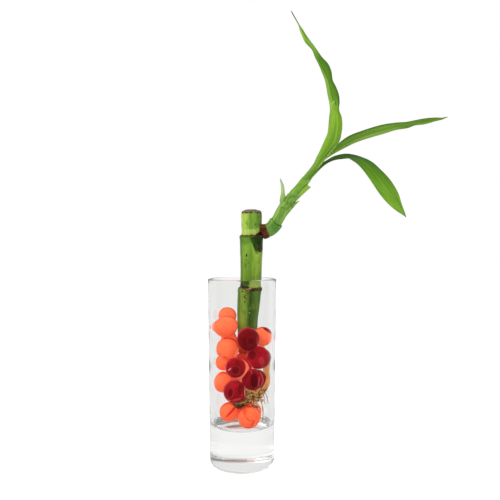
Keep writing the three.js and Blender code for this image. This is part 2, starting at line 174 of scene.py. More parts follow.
# %% [markdown]
# Most patterns here are made of a few things: a soft step from one side to the other, a band, a grain, a
# spot, and coats of colour laid over each other. Each is a function, so that a finish says what it is
# made of.

# %% Steps, bands, grains, spots and coats
def soft_step(value, start, end):
    """Rises smoothly from 0 at start to 1 at end."""
    low, high = sorted((start, end))
    ends = (0, 1) if start < end else (1, 0)
    return add_node(value.tree, "MapRange", value, low, high, *ends, interpolation_type="SMOOTHSTEP")


def band(value, middle, half, soft):
    """1 where value is within half of middle, fading to 0 over soft."""
    return soft_step((value - middle).step("ABSOLUTE"), half + soft, half)


def in_mm(place, axis):
    """The X, Y or Z of a place on the piece, in millimetres."""
    return add_node(place.tree, "SeparateXYZ", place, out=axis) / MM


def grain(place, per_mm, detail=2, stretch=(1, 1, 1)):
    """Noise with a grain of 1 / per_mm millimetres, drawn out along an axis by a small stretch."""
    scale = [per_mm / MM * share for share in stretch]
    scaled = add_node(place.tree, "Mapping", place, None, None, scale)
    return add_node(place.tree, "TexNoise", scaled, 1, detail)


def spot(place, middle, half, lean=0, ragged=None):
    """1 inside an ellipsoid, with a soft edge. Its middle and half sizes are in millimetres, and its lean in
    degrees clockwise."""
    middle = [v * MM for v in middle]
    half = [v * MM for v in half]
    turn = (0, math.radians(lean), 0)
    local = add_node(place.tree, "Mapping", place, middle, turn, half, vector_type="TEXTURE")
    reach = add_node(place.tree, "VectorMath", local, operation="LENGTH")
    if ragged:
        reach = reach + ragged
    return soft_step(reach, 1.15, 0.75)


def paint(colour, *coats, blend="MIX"):
    """Lays coats over a colour, one after the other. A coat is where it lies, from 0 to 1, and its tint."""
    for where, tint in coats:
        colour = add_node(colour.tree, "Mix", where, colour, tint, data_type="RGBA", blend_type=blend)
    return colour


def paint_marks(colour, place, marks, ragged=None):
    """Paints marks, each a middle, half sizes, a lean and a tint."""
    return paint(colour, *((spot(place, *shape, ragged), tint) for *shape, tint in marks))


# %% [markdown]
# ## White studio
#
# The object stands against plain white. What the camera sees directly, or through clear glass, is pure
# white. Surfaces get a softer light from the same sky, so that two large lamps can shape them. Clear
# glass shows mostly what it mirrors: it mirrors a dark room in front and a pale wall behind, which gives
# it its grey edges.

# %% Sky
SKY_SEEN = 1.0
SKY_LIGHT = 0.6
MIRRORED_FRONT = 0.06
MIRRORED_BACK = 0.85
MIRRORED_TWICE = 0.7
world = bpy.data.worlds.new("white studio")
bpy.context.scene.world = world
world.use_nodes = True
sky = world.node_tree
RAYS = ("Glossy Depth", "Diffuse Depth", "Is Camera Ray", "Is Transmission Ray")
glossy, diffuse, from_camera, through = (add_node(sky, "LightPath", out=name) for name in RAYS)
straight = (glossy + diffuse).step("LESS_THAN", 0.5)
seen = from_camera.step("MAXIMUM", through * straight)
way = add_node(sky, "TexCoord", out="Generated")
back, up = (add_node(sky, "SeparateXYZ", way, out=axis) for axis in "YZ")
away = back.step("MAXIMUM", up.step("ABSOLUTE") * 1.6 - 0.6)
mirrored = soft_step(away, 0.1, 0.7) * (MIRRORED_BACK - MIRRORED_FRONT) + MIRRORED_FRONT
mirrored = mirrored.step("MAXIMUM", glossy.step("GREATER_THAN", 1.5) * MIRRORED_TWICE)
light = glossy.step("GREATER_THAN", 0.5) * (mirrored - SKY_LIGHT) + SKY_LIGHT
strength = seen * (light * -1 + SKY_SEEN) + light
background = sky.nodes["Background"]
fill(background.inputs["Color"], "#ffffff")
fill(background.inputs["Strength"], strength)
bpy.context.scene.view_settings.view_transform = "Standard"
bpy.context.scene.view_settings.look = "None"
print("sky nodes:", len(sky.nodes))

# %% Floor and lamps
FLOOR_SIZE = 6
FLOOR_DROP = 0.0002
LAMP_SIZE = 0.5
LAMP_AIM = Vector((0.02, 0, 0.12))
bpy.ops.mesh.primitive_plane_add(size=FLOOR_SIZE, location=(0, 0, -FLOOR_DROP))
floor = bpy.context.object
floor.name = "floor"
paper = new_material(
    # a sheet of matt paper that scatters light from below too
    "matt white paper",
    Base_Color="#f7f7f6",
    Roughness=0.9,
    Specular_IOR_Level=0,
    Emission_Color="#ffffff",
    Emission_Strength=0.5,
)
floor.data.materials.append(paper)
floor.visible_glossy = False
floor.visible_transmission = False
floor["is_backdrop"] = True


def add_lamp(name, place, power):
    """A square soft lamp that lights the object but isn't mirrored in the gel and the glass."""
    bpy.ops.object.light_add(type="AREA", location=place)
    lamp = bpy.context.object
    lamp.name = name
    lamp.data.size = LAMP_SIZE
    lamp.data.energy = power
    lamp.rotation_euler = (LAMP_AIM - Vector(place)).to_track_quat("-Z", "Y").to_euler()
    lamp.visible_glossy = False


add_lamp("key lamp", (-0.55, -0.45, 0.75), 5.2)
add_lamp("fill lamp", (0.7, -0.3, 0.35), 1.5)

# %% [markdown]
# ## Glass
#
# The vase is one piece of moulded clear soda-lime glass: a heavy base with a rounded heel, a thin wall
# and a fire-polished rim. A turned shape could be spun from a profile. Here it is drawn up ring by ring
# from a filled circle, as the glass itself is drawn: up the outside, over the rim, and down the inside to
# the floor.

# %% A turned solid
def arc(middle, radius, start, end, steps):
    """Points (radius, height) on an arc of a turned profile. Angles are in degrees from the outward way."""
    angles = [math.radians(start + (end - start) * i / steps) for i in range(steps + 1)]
    return [(middle[0] + radius * math.cos(a), middle[1] + radius * math.sin(a)) for a in angles]


def turn_solid(name, profile, sides, y=0):
    """Draws a filled circle through the profile, a list of (radius, height, x) in millimetres."""
    radius, height, x = profile[0]
    place = (x * MM, y * MM, height * MM)
    bpy.ops.mesh.primitive_circle_add(vertices=sides, radius=radius * MM, fill_type="TRIFAN", location=place)
    piece = bpy.context.object
    piece.name = name
    bpy.ops.object.transform_apply(location=True, rotation=False, scale=False)
    bpy.ops.object.mode_set(mode="EDIT")
    for next_radius, next_height, next_x in profile[1:]:
        shift = ((next_x - x) * MM, 0, (next_height - height) * MM)
        bpy.ops.mesh.extrude_region_move(TRANSFORM_OT_translate={"value": shift})
        scale = next_radius / radius
        centre = (next_x * MM, y * MM, next_height * MM)
        bpy.ops.transform.resize(value=(scale, scale, 1), center_override=centre)
        radius, height, x = next_radius, next_height, next_x
    bpy.ops.mesh.select_all(action="SELECT")
    bpy.ops.mesh.normals_make_consistent(inside=False)
    bpy.ops.object.mode_set(mode="OBJECT")
    bpy.ops.object.shade_smooth()
    return piece


def put(piece, node):
    """Says what a finished piece rides on, hides the imported part that it stands for, and prints its size.
    """
    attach(piece, "root")
    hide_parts(node)
    size = [round(v / MM, 1) for v in piece.dimensions]
    print(piece.name, "size in mm", size, "faces", len(piece.data.polygons))


# %% Draw the glass
GLASS_SIDES = 128
GLASS_HEIGHT = 102.5
RIM_ROUND = 0.5
RIM_RADIUS = 19
FOOT_RADIUS = 17.9
WALL = 1.7
HEEL = 3.3
FLOOR = 22.2
CORNER = 2.2
# the hollow under the foot, from its middle out to the ring that the glass stands on
FOOT_HOLLOW = [(0.4, 0.7), (6, 0.65), (11, 0.45), (13.2, 0.1), (13.8, 0)]
FLOOR_DISH = [(8, FLOOR - 0.1), (4, FLOOR - 0.15), (0.4, FLOOR - 0.15)]
OUTER_STEPS = 30
INNER_STEPS = 60
inner_rim = RIM_RADIUS - WALL
inner_foot = FOOT_RADIUS - WALL
rim_base = GLASS_HEIGHT - WALL / 2


def wall_wave(height):
    """Blown and moulded walls are never quite even: the inner face wanders by a tenth of a millimetre."""
    return 0.12 * math.sin(height / 4.1) + 0.08 * math.sin(height / 2.3 + 1)


profile = FOOT_HOLLOW + arc((FOOT_RADIUS - HEEL, HEEL), HEEL, -90, 0, 12)
for i in range(1, OUTER_STEPS):
    share = i / OUTER_STEPS
    profile.append((FOOT_RADIUS + share * (RIM_RADIUS - FOOT_RADIUS), HEEL + share * (rim_base - HEEL)))
profile += arc((RIM_RADIUS - RIM_ROUND, GLASS_HEIGHT - RIM_ROUND), RIM_ROUND, 0, 90, 6)
profile += arc((inner_rim + RIM_ROUND, GLASS_HEIGHT - RIM_ROUND), RIM_ROUND, 90, 180, 6)
for i in range(1, INNER_STEPS):
    share = i / INNER_STEPS
    height = rim_base + share * (FLOOR + CORNER - rim_base)
    wave = math.sin(math.pi * share) * wall_wave(height)
    profile.append((inner_rim + share * (inner_foot - inner_rim) + wave, height))
profile += arc((inner_foot - CORNER, FLOOR + CORNER), CORNER, 0, -90, 10) + FLOOR_DISH
glass = turn_solid("glass_vase", [(radius, height, 0) for radius, height in profile], GLASS_SIDES)
print("glass rings:", len(profile))

# %% [markdown]
# The wall is clear and polished. The foot is ground a little matt by use, and one stretch of the ring that
# it stands on is grey and matt, which shows in the photograph as a short grey streak. These could be made
# with a pattern. Faces of their own are simpler, because the grey and the matt end where the foot curves up.

# %% Finish of the glass
# scuffed faces lie lower than FOOT_HEIGHT and further out than FOOT_INNER. The grey stretch is a part of
# their ring: its inner and outer radius in millimetres, and where it begins and ends, in degrees round
FOOT_HEIGHT = 2.4
FOOT_INNER = 12
GREY_RING = (12, 15.5)
GREY_TURN = (88, 135)
GLASS_IOR = 1.52
# name, tint, roughness and how much light passes
GLASS_FINISHES = [
    # soda-lime glass, moulded and fire polished: clear, sharp reflections, a trace of grey-green
    ("soda-lime glass", "#fcfcfb", 0.0, 1.0),
    # the same glass where it stands: ground a little matt by use
    ("scuffed glass foot", "#e6f2ee", 0.45, 1.0),
    # a stretch of the foot ring that is grey and matt
    ("grey matt foot stretch", "#8f918a", 0.7, 0.1),
]
for name, tint, roughness, clear in GLASS_FINISHES:
    finished = new_material(
        name, Base_Color=tint, Roughness=roughness, IOR=GLASS_IOR, Transmission_Weight=clear
    )
    glass.data.materials.append(finished)
for face in glass.data.polygons:
    x, y, z = face.center / MM
    out = math.hypot(x, y)
    turn = math.degrees(math.atan2(y, x))
    if z < FOOT_HEIGHT and face.normal.z < 0 and out > FOOT_INNER:
        grey_stretch = GREY_RING[0] < out < GREY_RING[1] and GREY_TURN[0] < turn < GREY_TURN[1]
        face.material_index = 2 if grey_stretch else 1
# light passes clear glass, so it casts no shadow on what is inside it
glass.visible_shadow = False
put(glass, "glass")

# %% [markdown]
# ## Gel beads
#
# The beads are water-swollen gel, soft, wet and cloudy. The skin of a bead could be one colour with the
# light doing the rest. In the photograph each bead shows the dark cores, folds and reflections of its
# neighbours, which the light of a plain studio doesn't give. So every bead gets an even dye that is a little
# cloudy, a painted edge on its sides and back, which is painted shade on the orange beads and painted light
# on the crimson ones, and then marks: a broad mark that covers most of a bead lies under that edge, and
# specks, painted shade and painted highlights lie over it. A low painted glow stands for light scattered
# in the gel.

# %% Marks on the beads
# each mark has a middle and half sizes in millimetres, a lean in degrees clockwise, and a tint
ORANGE_MARKS = [
    # beads 1 and 2: a speck
    ((-13.4, -8.7, 77.3), (0.4, 2, 0.6), 0, "#b8622c"),
    # bead 6: two specks, and painted light on its pale side
    ((-8.8, -8.6, 60.6), (0.35, 2, 1.3), -66, "#cc4430"),
    ((-11.8, -8.2, 62.6), (0.6, 2, 0.35), 0, "#c46a2c"),
    ((-2.8, -6.4, 62.6), (0.9, 3, 3), 25, "#ffa184"),
    # bead 4: a dark crimson arc on its shoulder, and painted shade along its edges
    ((13.6, -3.2, 74.6), (1.1, 3, 3.6), -51, "#7c0a06"),
    ((15.9, -1.5, 71.4), (0.7, 3, 4), 0, "#b8301c"),
    ((10.2, -2.4, 75.9), (0.3, 2, 1.6), 70, "#a03a28"),
    ((13.7, -4.4, 66.8), (0.4, 2, 1.1), -20, "#c83c2c"),
    # beads 16 and 17: painted shade along the lines where they press on each other
    ((-5.8, -4.2, 30), (0.75, 4, 4.8), 44, "#d63626"),
    ((1.8, -12.2, 32.4), (1.2, 2.4, 2.4), 0, "#f45c38"),
    ((1.1, -12.7, 32.3), (0.3, 2, 2.6), -12, "#e0482e"),
    ((2.9, -14.4, 29.3), (0.3, 2, 2), -45, "#e0482e"),
    ((5.4, -14.4, 28.1), (0.25, 2, 1.3), 85, "#e0482e"),
    ((5.5, -14, 26.5), (0.35, 2, 2.3), 30, "#d2422c"),
    ((3.9, -12.3, 23.9), (0.4, 3, 3.6), 88, "#c83426"),
    # bead 9: crimson over most of its front, and a paler red on its upper part
    ((1.1, -1, 55.5), (6.4, 5, 6.4), 0, "#8f1420"),
    ((0.6, 0, 60.4), (4, 4, 2.4), 0, "#c23a30"),
    # bead 15: crimson where crimson beads lie on it
    ((-2.6, 2.4, 46.2), (4.8, 5, 2), 0, "#9a1a22"),
]
# painted light and shade on the crimson beads: dark discs and edges are painted shade, pale rings and pink
# streaks painted highlights
CRIMSON_MARKS = [
    # bead 3
    ((3.4, -12, 70.7), (6.6, 7, 7), 0, "#740610"),
    ((2, -15.9, 71), (1.2, 2, 3.2), 0, "#6a030b"),
    ((4.9, -15.9, 70.5), (2.4, 2, 2.5), 0, "#8e1824"),
    ((4.9, -15.9, 70.5), (2, 2, 2.1), 0, "#66030a"),
    ((8.1, -14, 70.2), (0.8, 3, 3), 0, "#a02632"),
    # bead 7
    ((8.9, -8, 59.4), (7, 7, 7), 0, "#ab1222"),
    ((10.5, -7, 64.4), (2.4, 3, 1), 0, "#b81024"),
    ((5.2, -9, 62), (2.9, 3, 3), 0, "#b43040"),
    ((5.2, -9, 62), (2.6, 3, 2.8), 0, "#7c0914"),
    ((10.3, -10.6, 58.8), (1.5, 3, 2.6), -10, "#bf303c"),
    ((14.2, -8, 59.1), (0.8, 3, 2.2), 0, "#780610"),
    ((12.5, -8.1, 55.6), (0.6, 3, 2), 56, "#7c0812"),
    ((2.8, -3.9, 61.8), (0.3, 2, 1.8), 20, "#e07078"),
    ((4.9, -7.8, 56.2), (0.35, 3, 3.4), -36, "#d84458"),
    # bead 10
    ((-3.2, -11.5, 55.5), (6.2, 7, 6.2), 0, "#870a16"),
    ((1.1, -13.4, 55.8), (0.7, 3, 3), 0, "#98140c"),
    ((-2.2, -15.2, 58.2), (1.2, 2, 2), 0, "#6c070f"),
    ((-3, -16, 55), (2.5, 2, 2.5), 0, "#a02a36"),
    ((-3.1, -16, 55.1), (2.2, 2, 2.2), 0, "#66030a"),
    ((-6.2, -15.2, 55.4), (0.35, 2, 1.3), 45, "#ee8088"),
    ((-8, -12, 55), (0.4, 3, 3), 0, "#b42430"),
    # bead 11
    ((6, -9, 48.6), (6.5, 7, 6.5), 0, "#8c0b18"),
    ((10.8, -10.9, 50), (2.2, 4, 3.6), 0, "#a81024"),
    ((9.8, -8, 52.8), (0.8, 3, 2), -55, "#66050e"),
    ((6.3, -14.4, 49.4), (2, 3, 4.6), 0, "#5a0008"),
    ((10.4, -10, 45.4), (0.8, 3, 0.5), 0, "#800810"),
    ((8.7, -13.8, 48.6), (0.3, 3, 2.6), 5, "#c04856"),
    ((4.7, -11.7, 53.7), (0.3, 3, 1.8), -27, "#b83444"),
    ((9, -11.6, 44.8), (0.5, 3, 1.8), 60, "#b41828"),
    # bead 14
    ((-3.9, -10, 41.9), (6.5, 7, 6.5), 0, "#9a0e1c"),
    ((-3.6, -12.5, 47), (2.4, 3, 1.6), 0, "#aa1626"),
    ((-0.9, -13.4, 44.5), (1.2, 3, 2.6), 0, "#760410"),
    ((-5.7, -14.5, 43), (1.7, 2, 3), 10, "#b03040"),
    ((-5.8, -14.5, 43), (1.4, 2, 2.7), 10, "#6a030d"),
    ((0.1, -13.4, 41.6), (0.6, 2, 1), 0, "#c41a3a"),
    ((-2.5, -14, 39.2), (0.8, 2, 2.6), 75, "#d83c36"),
    ((1.6, -11.4, 43), (0.35, 3, 3.2), 0, "#e09084"),
    ((-6.8, -12.7, 38.5), (0.5, 2, 1.5), 85, "#e06058"),
    # bead 20: dark olive-brown over its front, where the old roots lie on it
    ((-0.9, -4, 35.8), (5.4, 5, 5.4), 0, "#4a3412"),
]
BROAD_MARK_SIZE = 5
print("marks:", len(ORANGE_MARKS), "on orange beads and", len(CRIMSON_MARKS), "on crimson ones")

# %% Gel
def gel(name, dyes, painted_edge, marks, transmission, painted_glow):
    """Swollen gel: two dyes in clouds, a painted edge on the sides and back (painted shade where darker,
    painted light where paler), marks, and a painted glow.
    """
    material = new_material(
        name,
        Roughness=0.12,
        IOR=1.34,
        Specular_IOR_Level=0.15,
        Specular_Tint=dyes[0],
        Transmission_Weight=transmission,
        # painted glow: light scattered in the gel
        Emission_Strength=painted_glow,
    )
    tree = material.node_tree
    place = add_node(tree, "TexCoord", out="Object")
    cloud = grain(place, 0.35)
    back = add_node(tree, "SeparateXYZ", add_node(tree, "TexCoord", out="Normal"), out="Y")
    # painted edge: the sides and the back take the edge tint, painted shade on orange beads and painted
    # light on crimson ones
    painted_edge_share = soft_step(back + cloud * 0.3 - 0.15, -0.5, -0.25) * 0.85
    broad_marks = [mark for mark in marks if mark[1][0] > BROAD_MARK_SIZE]
    small_marks = [mark for mark in marks if mark not in broad_marks]
    dye = add_node(tree, "Mix", soft_step(cloud, 0.35, 0.7), *dyes, data_type="RGBA")
    broadly_marked = paint(paint_marks(dye, place, broad_marks), (painted_edge_share, painted_edge))
    colour = paint_marks(broadly_marked, place, small_marks)
    finish(material, Base_Color=colour, Emission_Color=colour)
    print(name, "nodes", len(tree.nodes))
    return material


# swollen polyacrylate gel with an orange dye: wet and cloudy, with a painted glow for light scattered in it
orange_gel = gel("orange water gel", ("#ff7449", "#ff7c50"), "#cf3a20", ORANGE_MARKS, 0.3, 0.28)
# the same gel with a deep red dye
crimson_gel = gel("crimson water gel", ("#900c1a", "#a81224"), "#a42430", CRIMSON_MARKS, 0.3, 0.25)
# the pale skin that has begun to peel from one bead
peel_gel = gel("pale gel skin", ("#ff9070", "#ff8060"), "#f06a50", [], 0.35, 0.3)

# %% [markdown]
# A swollen bead is a sphere with a slightly uneven skin, at the place and size of its solid. Where a
# neighbour presses, it gives way: it moves or stretches a little, and a point of its skin is drawn out or
# flattened. These could be simulated. The few that show in the photograph are listed one by one, and the
# rest stay as they lie.

# %% Bead shapes
CRIMSON = (3, 7, 10, 11, 12, 14, 20)
UNEVEN = 0.12
UNEVEN_GRAIN = 4
# where a soft bead is nudged by its neighbours, in millimetres, and its stretch to the side and upwards
NUDGES = {
    3: (0, 0.1, 1.0, 1.08),
    4: (0.3, -0.6, 1.02, 1.0),
    6: (1.1, 0.4, 1.0, 1.0),
    7: (0.45, -0.45, 1.05, 0.98),
    9: (-0.1, 1.7, 1.14, 1.1),
    10: (-0.85, -1.1, 1.0, 1.0),
    14: (0.5, 0.5, 1.02, 1.03),
    16: (1.9, 0.1, 1.03, 1.0),
    17: (0, -0.3, 1.02, 1.02),
}
# where neighbours press a bead into a corner: its way, how far in millimetres, and how wide in degrees
CORNERS = {
    2: [((-1, 0, -0.02), 1.5, 22), ((0.9, -0.2, 0.35), 0.5, 35), ((-0.6, 0, 0.8), -0.5, 30)],
    5: [((0.9, -0.3, -0.4), 0.8, 30)],
    8: [((-0.8, -0.2, -0.6), 0.5, 30)],
    17: [((0.75, 0, -0.65), -0.35, 30), ((-0.7, 0, -0.7), 0.3, 35)],
}
# the bead with a peeling skin, and how far the skin has slipped to the side, back and upwards
PEELING = 10
SLIP = Vector((1.7, 3.0, -1.4)) * MM


def ball(radius, place, stretch=(1, 1, 1)):
    """A round ball of gel, with its place in its mesh."""
    bpy.ops.mesh.primitive_uv_sphere_add(segments=64, ring_count=32, radius=radius, location=place)
    piece = bpy.context.object
    piece.scale = stretch
    bpy.ops.object.transform_apply()
    bpy.ops.object.shade_smooth()
    return piece


def press(bead, middle, corners):
    """Gives a bead its uneven skin and the corners that its neighbours press into it."""
    for vertex in bead.data.vertices:
        out = (vertex.co - middle).normalized()
        lift = -(0.5 + 0.5 * noise.noise(vertex.co / (UNEVEN_GRAIN * MM))) * UNEVEN
        for way, height, spread in corners:
            lift += height * math.exp(-((math.degrees(out.angle(Vector(way))) / spread) ** 2))
        vertex.co += out * lift * MM


beads = []
for number in range(1, 21):
    node = f"bead_{number:02d}"
    low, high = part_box(node)
    middle = (low + high) / 2
    radius = (high.z - low.z) / 2
    side, up, wide, tall = NUDGES.get(number, (0, 0, 1, 1))
    nudge = Vector((side, 0, up))
    bead = ball(radius, middle + nudge * MM, (wide, 1, tall))
    bead.name = f"gel_bead_{number:02d}"
    beads.append((middle / MM + nudge, radius / MM * max(wide, tall)))
    press(bead, middle, CORNERS.get(number, []))
    crimson = number in CRIMSON
    bead.data.materials.append(crimson_gel if crimson else orange_gel)
    if number == PEELING:
        skin = ball(radius, middle + nudge * MM + SLIP)
        skin.data.materials.append(peel_gel)
        bead.select_set(True)
        bpy.context.view_layer.objects.active = bead
        bpy.ops.object.join()
    put(bead, node)
print("beads:", len(beads), "of them crimson:", len(CRIMSON))

# %% [markdown]
# ## Smooth lines
#
# A stem or a leaf follows a smooth line through a few measured places. A centripetal Catmull-Rom line
# passes through every one of them without loops, so it is used for places, for directions and for widths
# alike.

# %% A smooth line through places
def smooth(points, t):
    """The point at share t, from 0 to 1, of a smooth line. Each stretch of it takes an equal share."""
    last = len(points) - 1
    at = min(max(t, 0), 1) * last
    i = min(int(at), last - 1)
    weight = at - i
    p1, p2 = points[i], points[i + 1]
    p0 = points[i - 1] if i > 0 else 2 * p1 - p2
    p3 = points[i + 2] if i + 2 <= last else 2 * p2 - p1
    step1 = max((p2 - p1).length ** 0.5, 1e-4)
    step0 = (p1 - p0).length ** 0.5 or step1
    step2 = (p3 - p2).length ** 0.5 or step1
    slope1 = ((p1 - p0) / step0 - (p2 - p0) / (step0 + step1) + (p2 - p1) / step1) * step1
    slope2 = ((p2 - p1) / step1 - (p3 - p1) / (step1 + step2) + (p3 - p2) / step2) * step1
    c2 = -3 * p1 + 3 * p2 - 2 * slope1 - slope2
    c3 = 2 * p1 - 2 * p2 + slope1 + slope2
    return p1 + slope1 * weight + c2 * weight**2 + c3 * weight**3


class Line:
    """A smooth line that can be followed by the length along it."""

    STEPS = 400
    NUDGE = 1e-3

    def __init__(self, points):
        self.points = [Vector(p) for p in points]
        places = [smooth(self.points, i / self.STEPS) for i in range(self.STEPS + 1)]
        lengths = [(b - a).length for a, b in zip(places, places[1:])]
        self.along = np.concatenate([[0], np.cumsum(lengths)])
        self.length = float(self.along[-1])

    def share(self, along):
        return float(np.interp(along, self.along, np.linspace(0, 1, self.STEPS + 1)))

    def at(self, along):
        return smooth(self.points, self.share(along))

    def way(self, along):
        t = self.share(along)
        ahead = smooth(self.points, min(t + self.NUDGE, 1))
        return (ahead - smooth(self.points, max(t - self.NUDGE, 0))).normalized()


# %% Sheets and joins
def sheet_of(name, columns, rows, place):
    """A grid whose points go where place(u, v) says, in millimetres. u runs across, v along, from 0 to 1."""
    bpy.ops.mesh.primitive_grid_add(x_subdivisions=columns, y_subdivisions=rows, size=2)
    piece = bpy.context.object
    piece.name = name
    for vertex in piece.data.vertices:
        vertex.co = place((vertex.co.x + 1) / 2, (vertex.co.y + 1) / 2) * MM
    piece.data.update()
    bpy.ops.object.shade_smooth()
    return piece


def close_up(piece):
    """Joins the points that lie on each other and turns every face outwards."""
    bpy.context.view_layer.objects.active = piece
    bpy.ops.object.mode_set(mode="EDIT")
    bpy.ops.mesh.select_all(action="SELECT")
    bpy.ops.mesh.remove_doubles(threshold=0.00001)
    bpy.ops.mesh.normals_make_consistent(inside=False)
    bpy.ops.object.mode_set(mode="OBJECT")


def join(name, pieces):
    """Joins pieces that grew as one."""
    bpy.ops.object.select_all(action="DESELECT")
    for piece in pieces:
        piece.select_set(True)
    bpy.context.view_layer.objects.active = pieces[0]
    bpy.ops.object.join()
    pieces[0].name = name
    return pieces[0]


# %% [markdown]
# ## Cane
#
# The cane is a cut piece of woody stem. It swells a little towards each node, where a raised brown ring
# marks the place of an old leaf, and its cut top has dried to a low grey-brown dome. It is drawn up ring
# by ring like the glass, with each ring's own middle, because the stem isn't quite straight. Its skin is
# roughened afterwards: a little everywhere, more at the rings, and most at the cut.

# %% Draw the cane
CANE_DEPTH = 6.5
CANE_MIDDLE = 4.5
CUT_HEIGHT = 139
RING_SPACING = 0.8
CANE_SIDES = 72
# height, place of the middle to the side, and radius, in millimetres
CANE_RINGS = [
    (60.4, 3, 4.6), (61.2, 3, 5.5), (65, 3, 5.8), (67, 3, 6.3), (68.6, 3, 5.8), (78.5, 3.1, 5.95),
    (84, 3.4, 6.3), (89.8, 3.8, 6.6), (94.3, 4.2, 6.8), (95.7, 4.4, 7.05), (96.6, 4.6, 6.9),
    (97.3, 4.8, 6.2), (104, 5, 6.05), (111.4, 5.1, 6.15), (118.2, 5.2, 6.45), (124, 5.2, 6.6),
    (125.8, 5.25, 6.85), (126.6, 5.25, 6.7), (127.3, 5.3, 5.9), (133, 5.3, 5.8), (139.2, 5.3, 5.8),
    (140.3, 5.3, 5.4), (141.1, 5.3, 3.9), (141.5, 5.3, 1.4),
]
CANE_TIP = (0.5, 141.6, 5.3)
NODE_HEIGHTS = (67, 96, 126.1)
# how rough the skin, the node rings and the cut are, and how far a ring reaches, in millimetres
SKIN_ROUGH = 0.03
NODE_ROUGH = 0.28
CUT_ROUGH = 0.25
NODE_REACH = 0.9
rings = [Vector(ring) for ring in CANE_RINGS]
cane_profile = []
for i in range(len(rings) - 1):
    steps = max(2, round((rings[i + 1].x - rings[i].x) / RING_SPACING))
    for j in range(steps):
        height, x, radius = smooth(rings, (i + j / steps) / (len(rings) - 1))
        cane_profile.append((radius, height, x))
cane_body = turn_solid("cane", cane_profile + [CANE_TIP], CANE_SIDES, CANE_DEPTH)
for vertex in cane_body.data.vertices:
    place = vertex.co / MM
    out = Vector((place.x - CANE_MIDDLE, place.y - CANE_DEPTH, 0)).normalized()
    near_node = max(math.exp(-(((place.z - height) / NODE_REACH) ** 2)) for height in NODE_HEIGHTS)
    rough = SKIN_ROUGH + NODE_ROUGH * near_node + (CUT_ROUGH if place.z > CUT_HEIGHT else 0)
    coarse = noise.noise(Vector((out.x * 3, out.y * 3, place.z * 1.4)))
    vertex.co += out * rough * (coarse + 0.5 * noise.noise(place * 1.3)) * MM
    if place.z > CUT_HEIGHT:
        vertex.co.z += CUT_ROUGH * noise.noise(place * 0.9) * MM
print("rings:", len(cane_profile) + 1)

# %% A dormant eye, a flattened dome on the bark
EYE_SIZE = (2.2, 1.3, 2.4)
EYE_PLACE = Vector((9.7, 2.8, 119.2)) * MM
EYE_TURN = 50
bpy.ops.mesh.primitive_uv_sphere_add(segments=48, ring_count=24, radius=1 * MM, location=EYE_PLACE)
eye = bpy.context.object
eye.scale = EYE_SIZE
eye.rotation_euler = (0, 0, math.radians(EYE_TURN))
bpy.ops.object.transform_apply()
bpy.ops.object.shade_smooth()
print("eye in mm:", [round(v / MM, 1) for v in eye.dimensions])

# %% [markdown]
# The bark is waxy and green, with light and dark stripes along it that differ on each length between two
# nodes. They are partly the bark's own streaks and partly painted sheen and painted shade of the round,
# glossy cane. They could be left to noise alone. Here the broad stripes follow the photograph, from the left
# edge to the right, and noise only lets them waver, because these stripes are what makes the cane look
# round and alive.

# %% Stripes of the bark
cane_skin = new_material(
    # living bark of a dracaena cane: smooth and waxy, green, with woody brown rings
    "waxy green cane bark",
    Roughness=0.42,
    Specular_IOR_Level=0.12,
)
# the middle of the leaning cane lies to the side by CANE_SIDE, and by CANE_LEAN of its height more
CANE_SIDE = 0.82
CANE_LEAN = 0.032
CANE_HALF_WIDTH = 6.3
# the bark's own streaks with painted sheen and shade, across the three lengths of bark, from left to right
BARK_AND_SHEEN_STRIPES = (
    # the lowest length that shows
    [
        (0, "#4a6c24"), (0.15, "#86a63e"), (0.34, "#8cae40"), (0.44, "#668c2c"), (0.56, "#2f4c14"),
        (0.68, "#456620"), (0.85, "#688c3c"), (1, "#50782c"),
    ],
    # the middle length
    [
        (0, "#4a6c22"), (0.12, "#68892e"), (0.22, "#86a63a"), (0.36, "#769c32"), (0.52, "#64902a"),
        (0.62, "#84a63a"), (0.8, "#95b43e"), (1, "#7c9c3e"),
    ],
    # the top length
    [
        (0, "#93ad42"), (0.12, "#a6bf50"), (0.3, "#9bb849"), (0.4, "#789c38"), (0.5, "#6d9133"),
        (0.62, "#769e37"), (0.8, "#61832f"), (1, "#56782b"),
    ],
)
bark = cane_skin.node_tree
place = add_node(bark, "TexCoord", out="Object")
x, y, z = (in_mm(place, axis) for axis in "XYZ")
streak = grain(place, 0.8, 3, (1, 1, 0.05))
blotch = grain(place, 0.3, 3)
wander = grain(place, 0.45, 4)
# the way across the leaning cane, from -1 at its left edge to 1 at its right edge
side = (x - (z * CANE_LEAN + CANE_SIDE)) / CANE_HALF_WIDTH
across = (side + streak * 0.5 - 0.25) * 0.5 + 0.5
low, middle, top = (add_node(bark, "ValToRGB", across, stops=stops) for stops in BARK_AND_SHEEN_STRIPES)
colour = paint(
    low,
    (soft_step(z, 95.5, 96.5), middle),
    (soft_step(z, 126, 127), top),
    (soft_step(blotch, 0.45, 0.75), "#6d942f"),
)
print("stripes on", len(BARK_AND_SHEEN_STRIPES), "lengths")
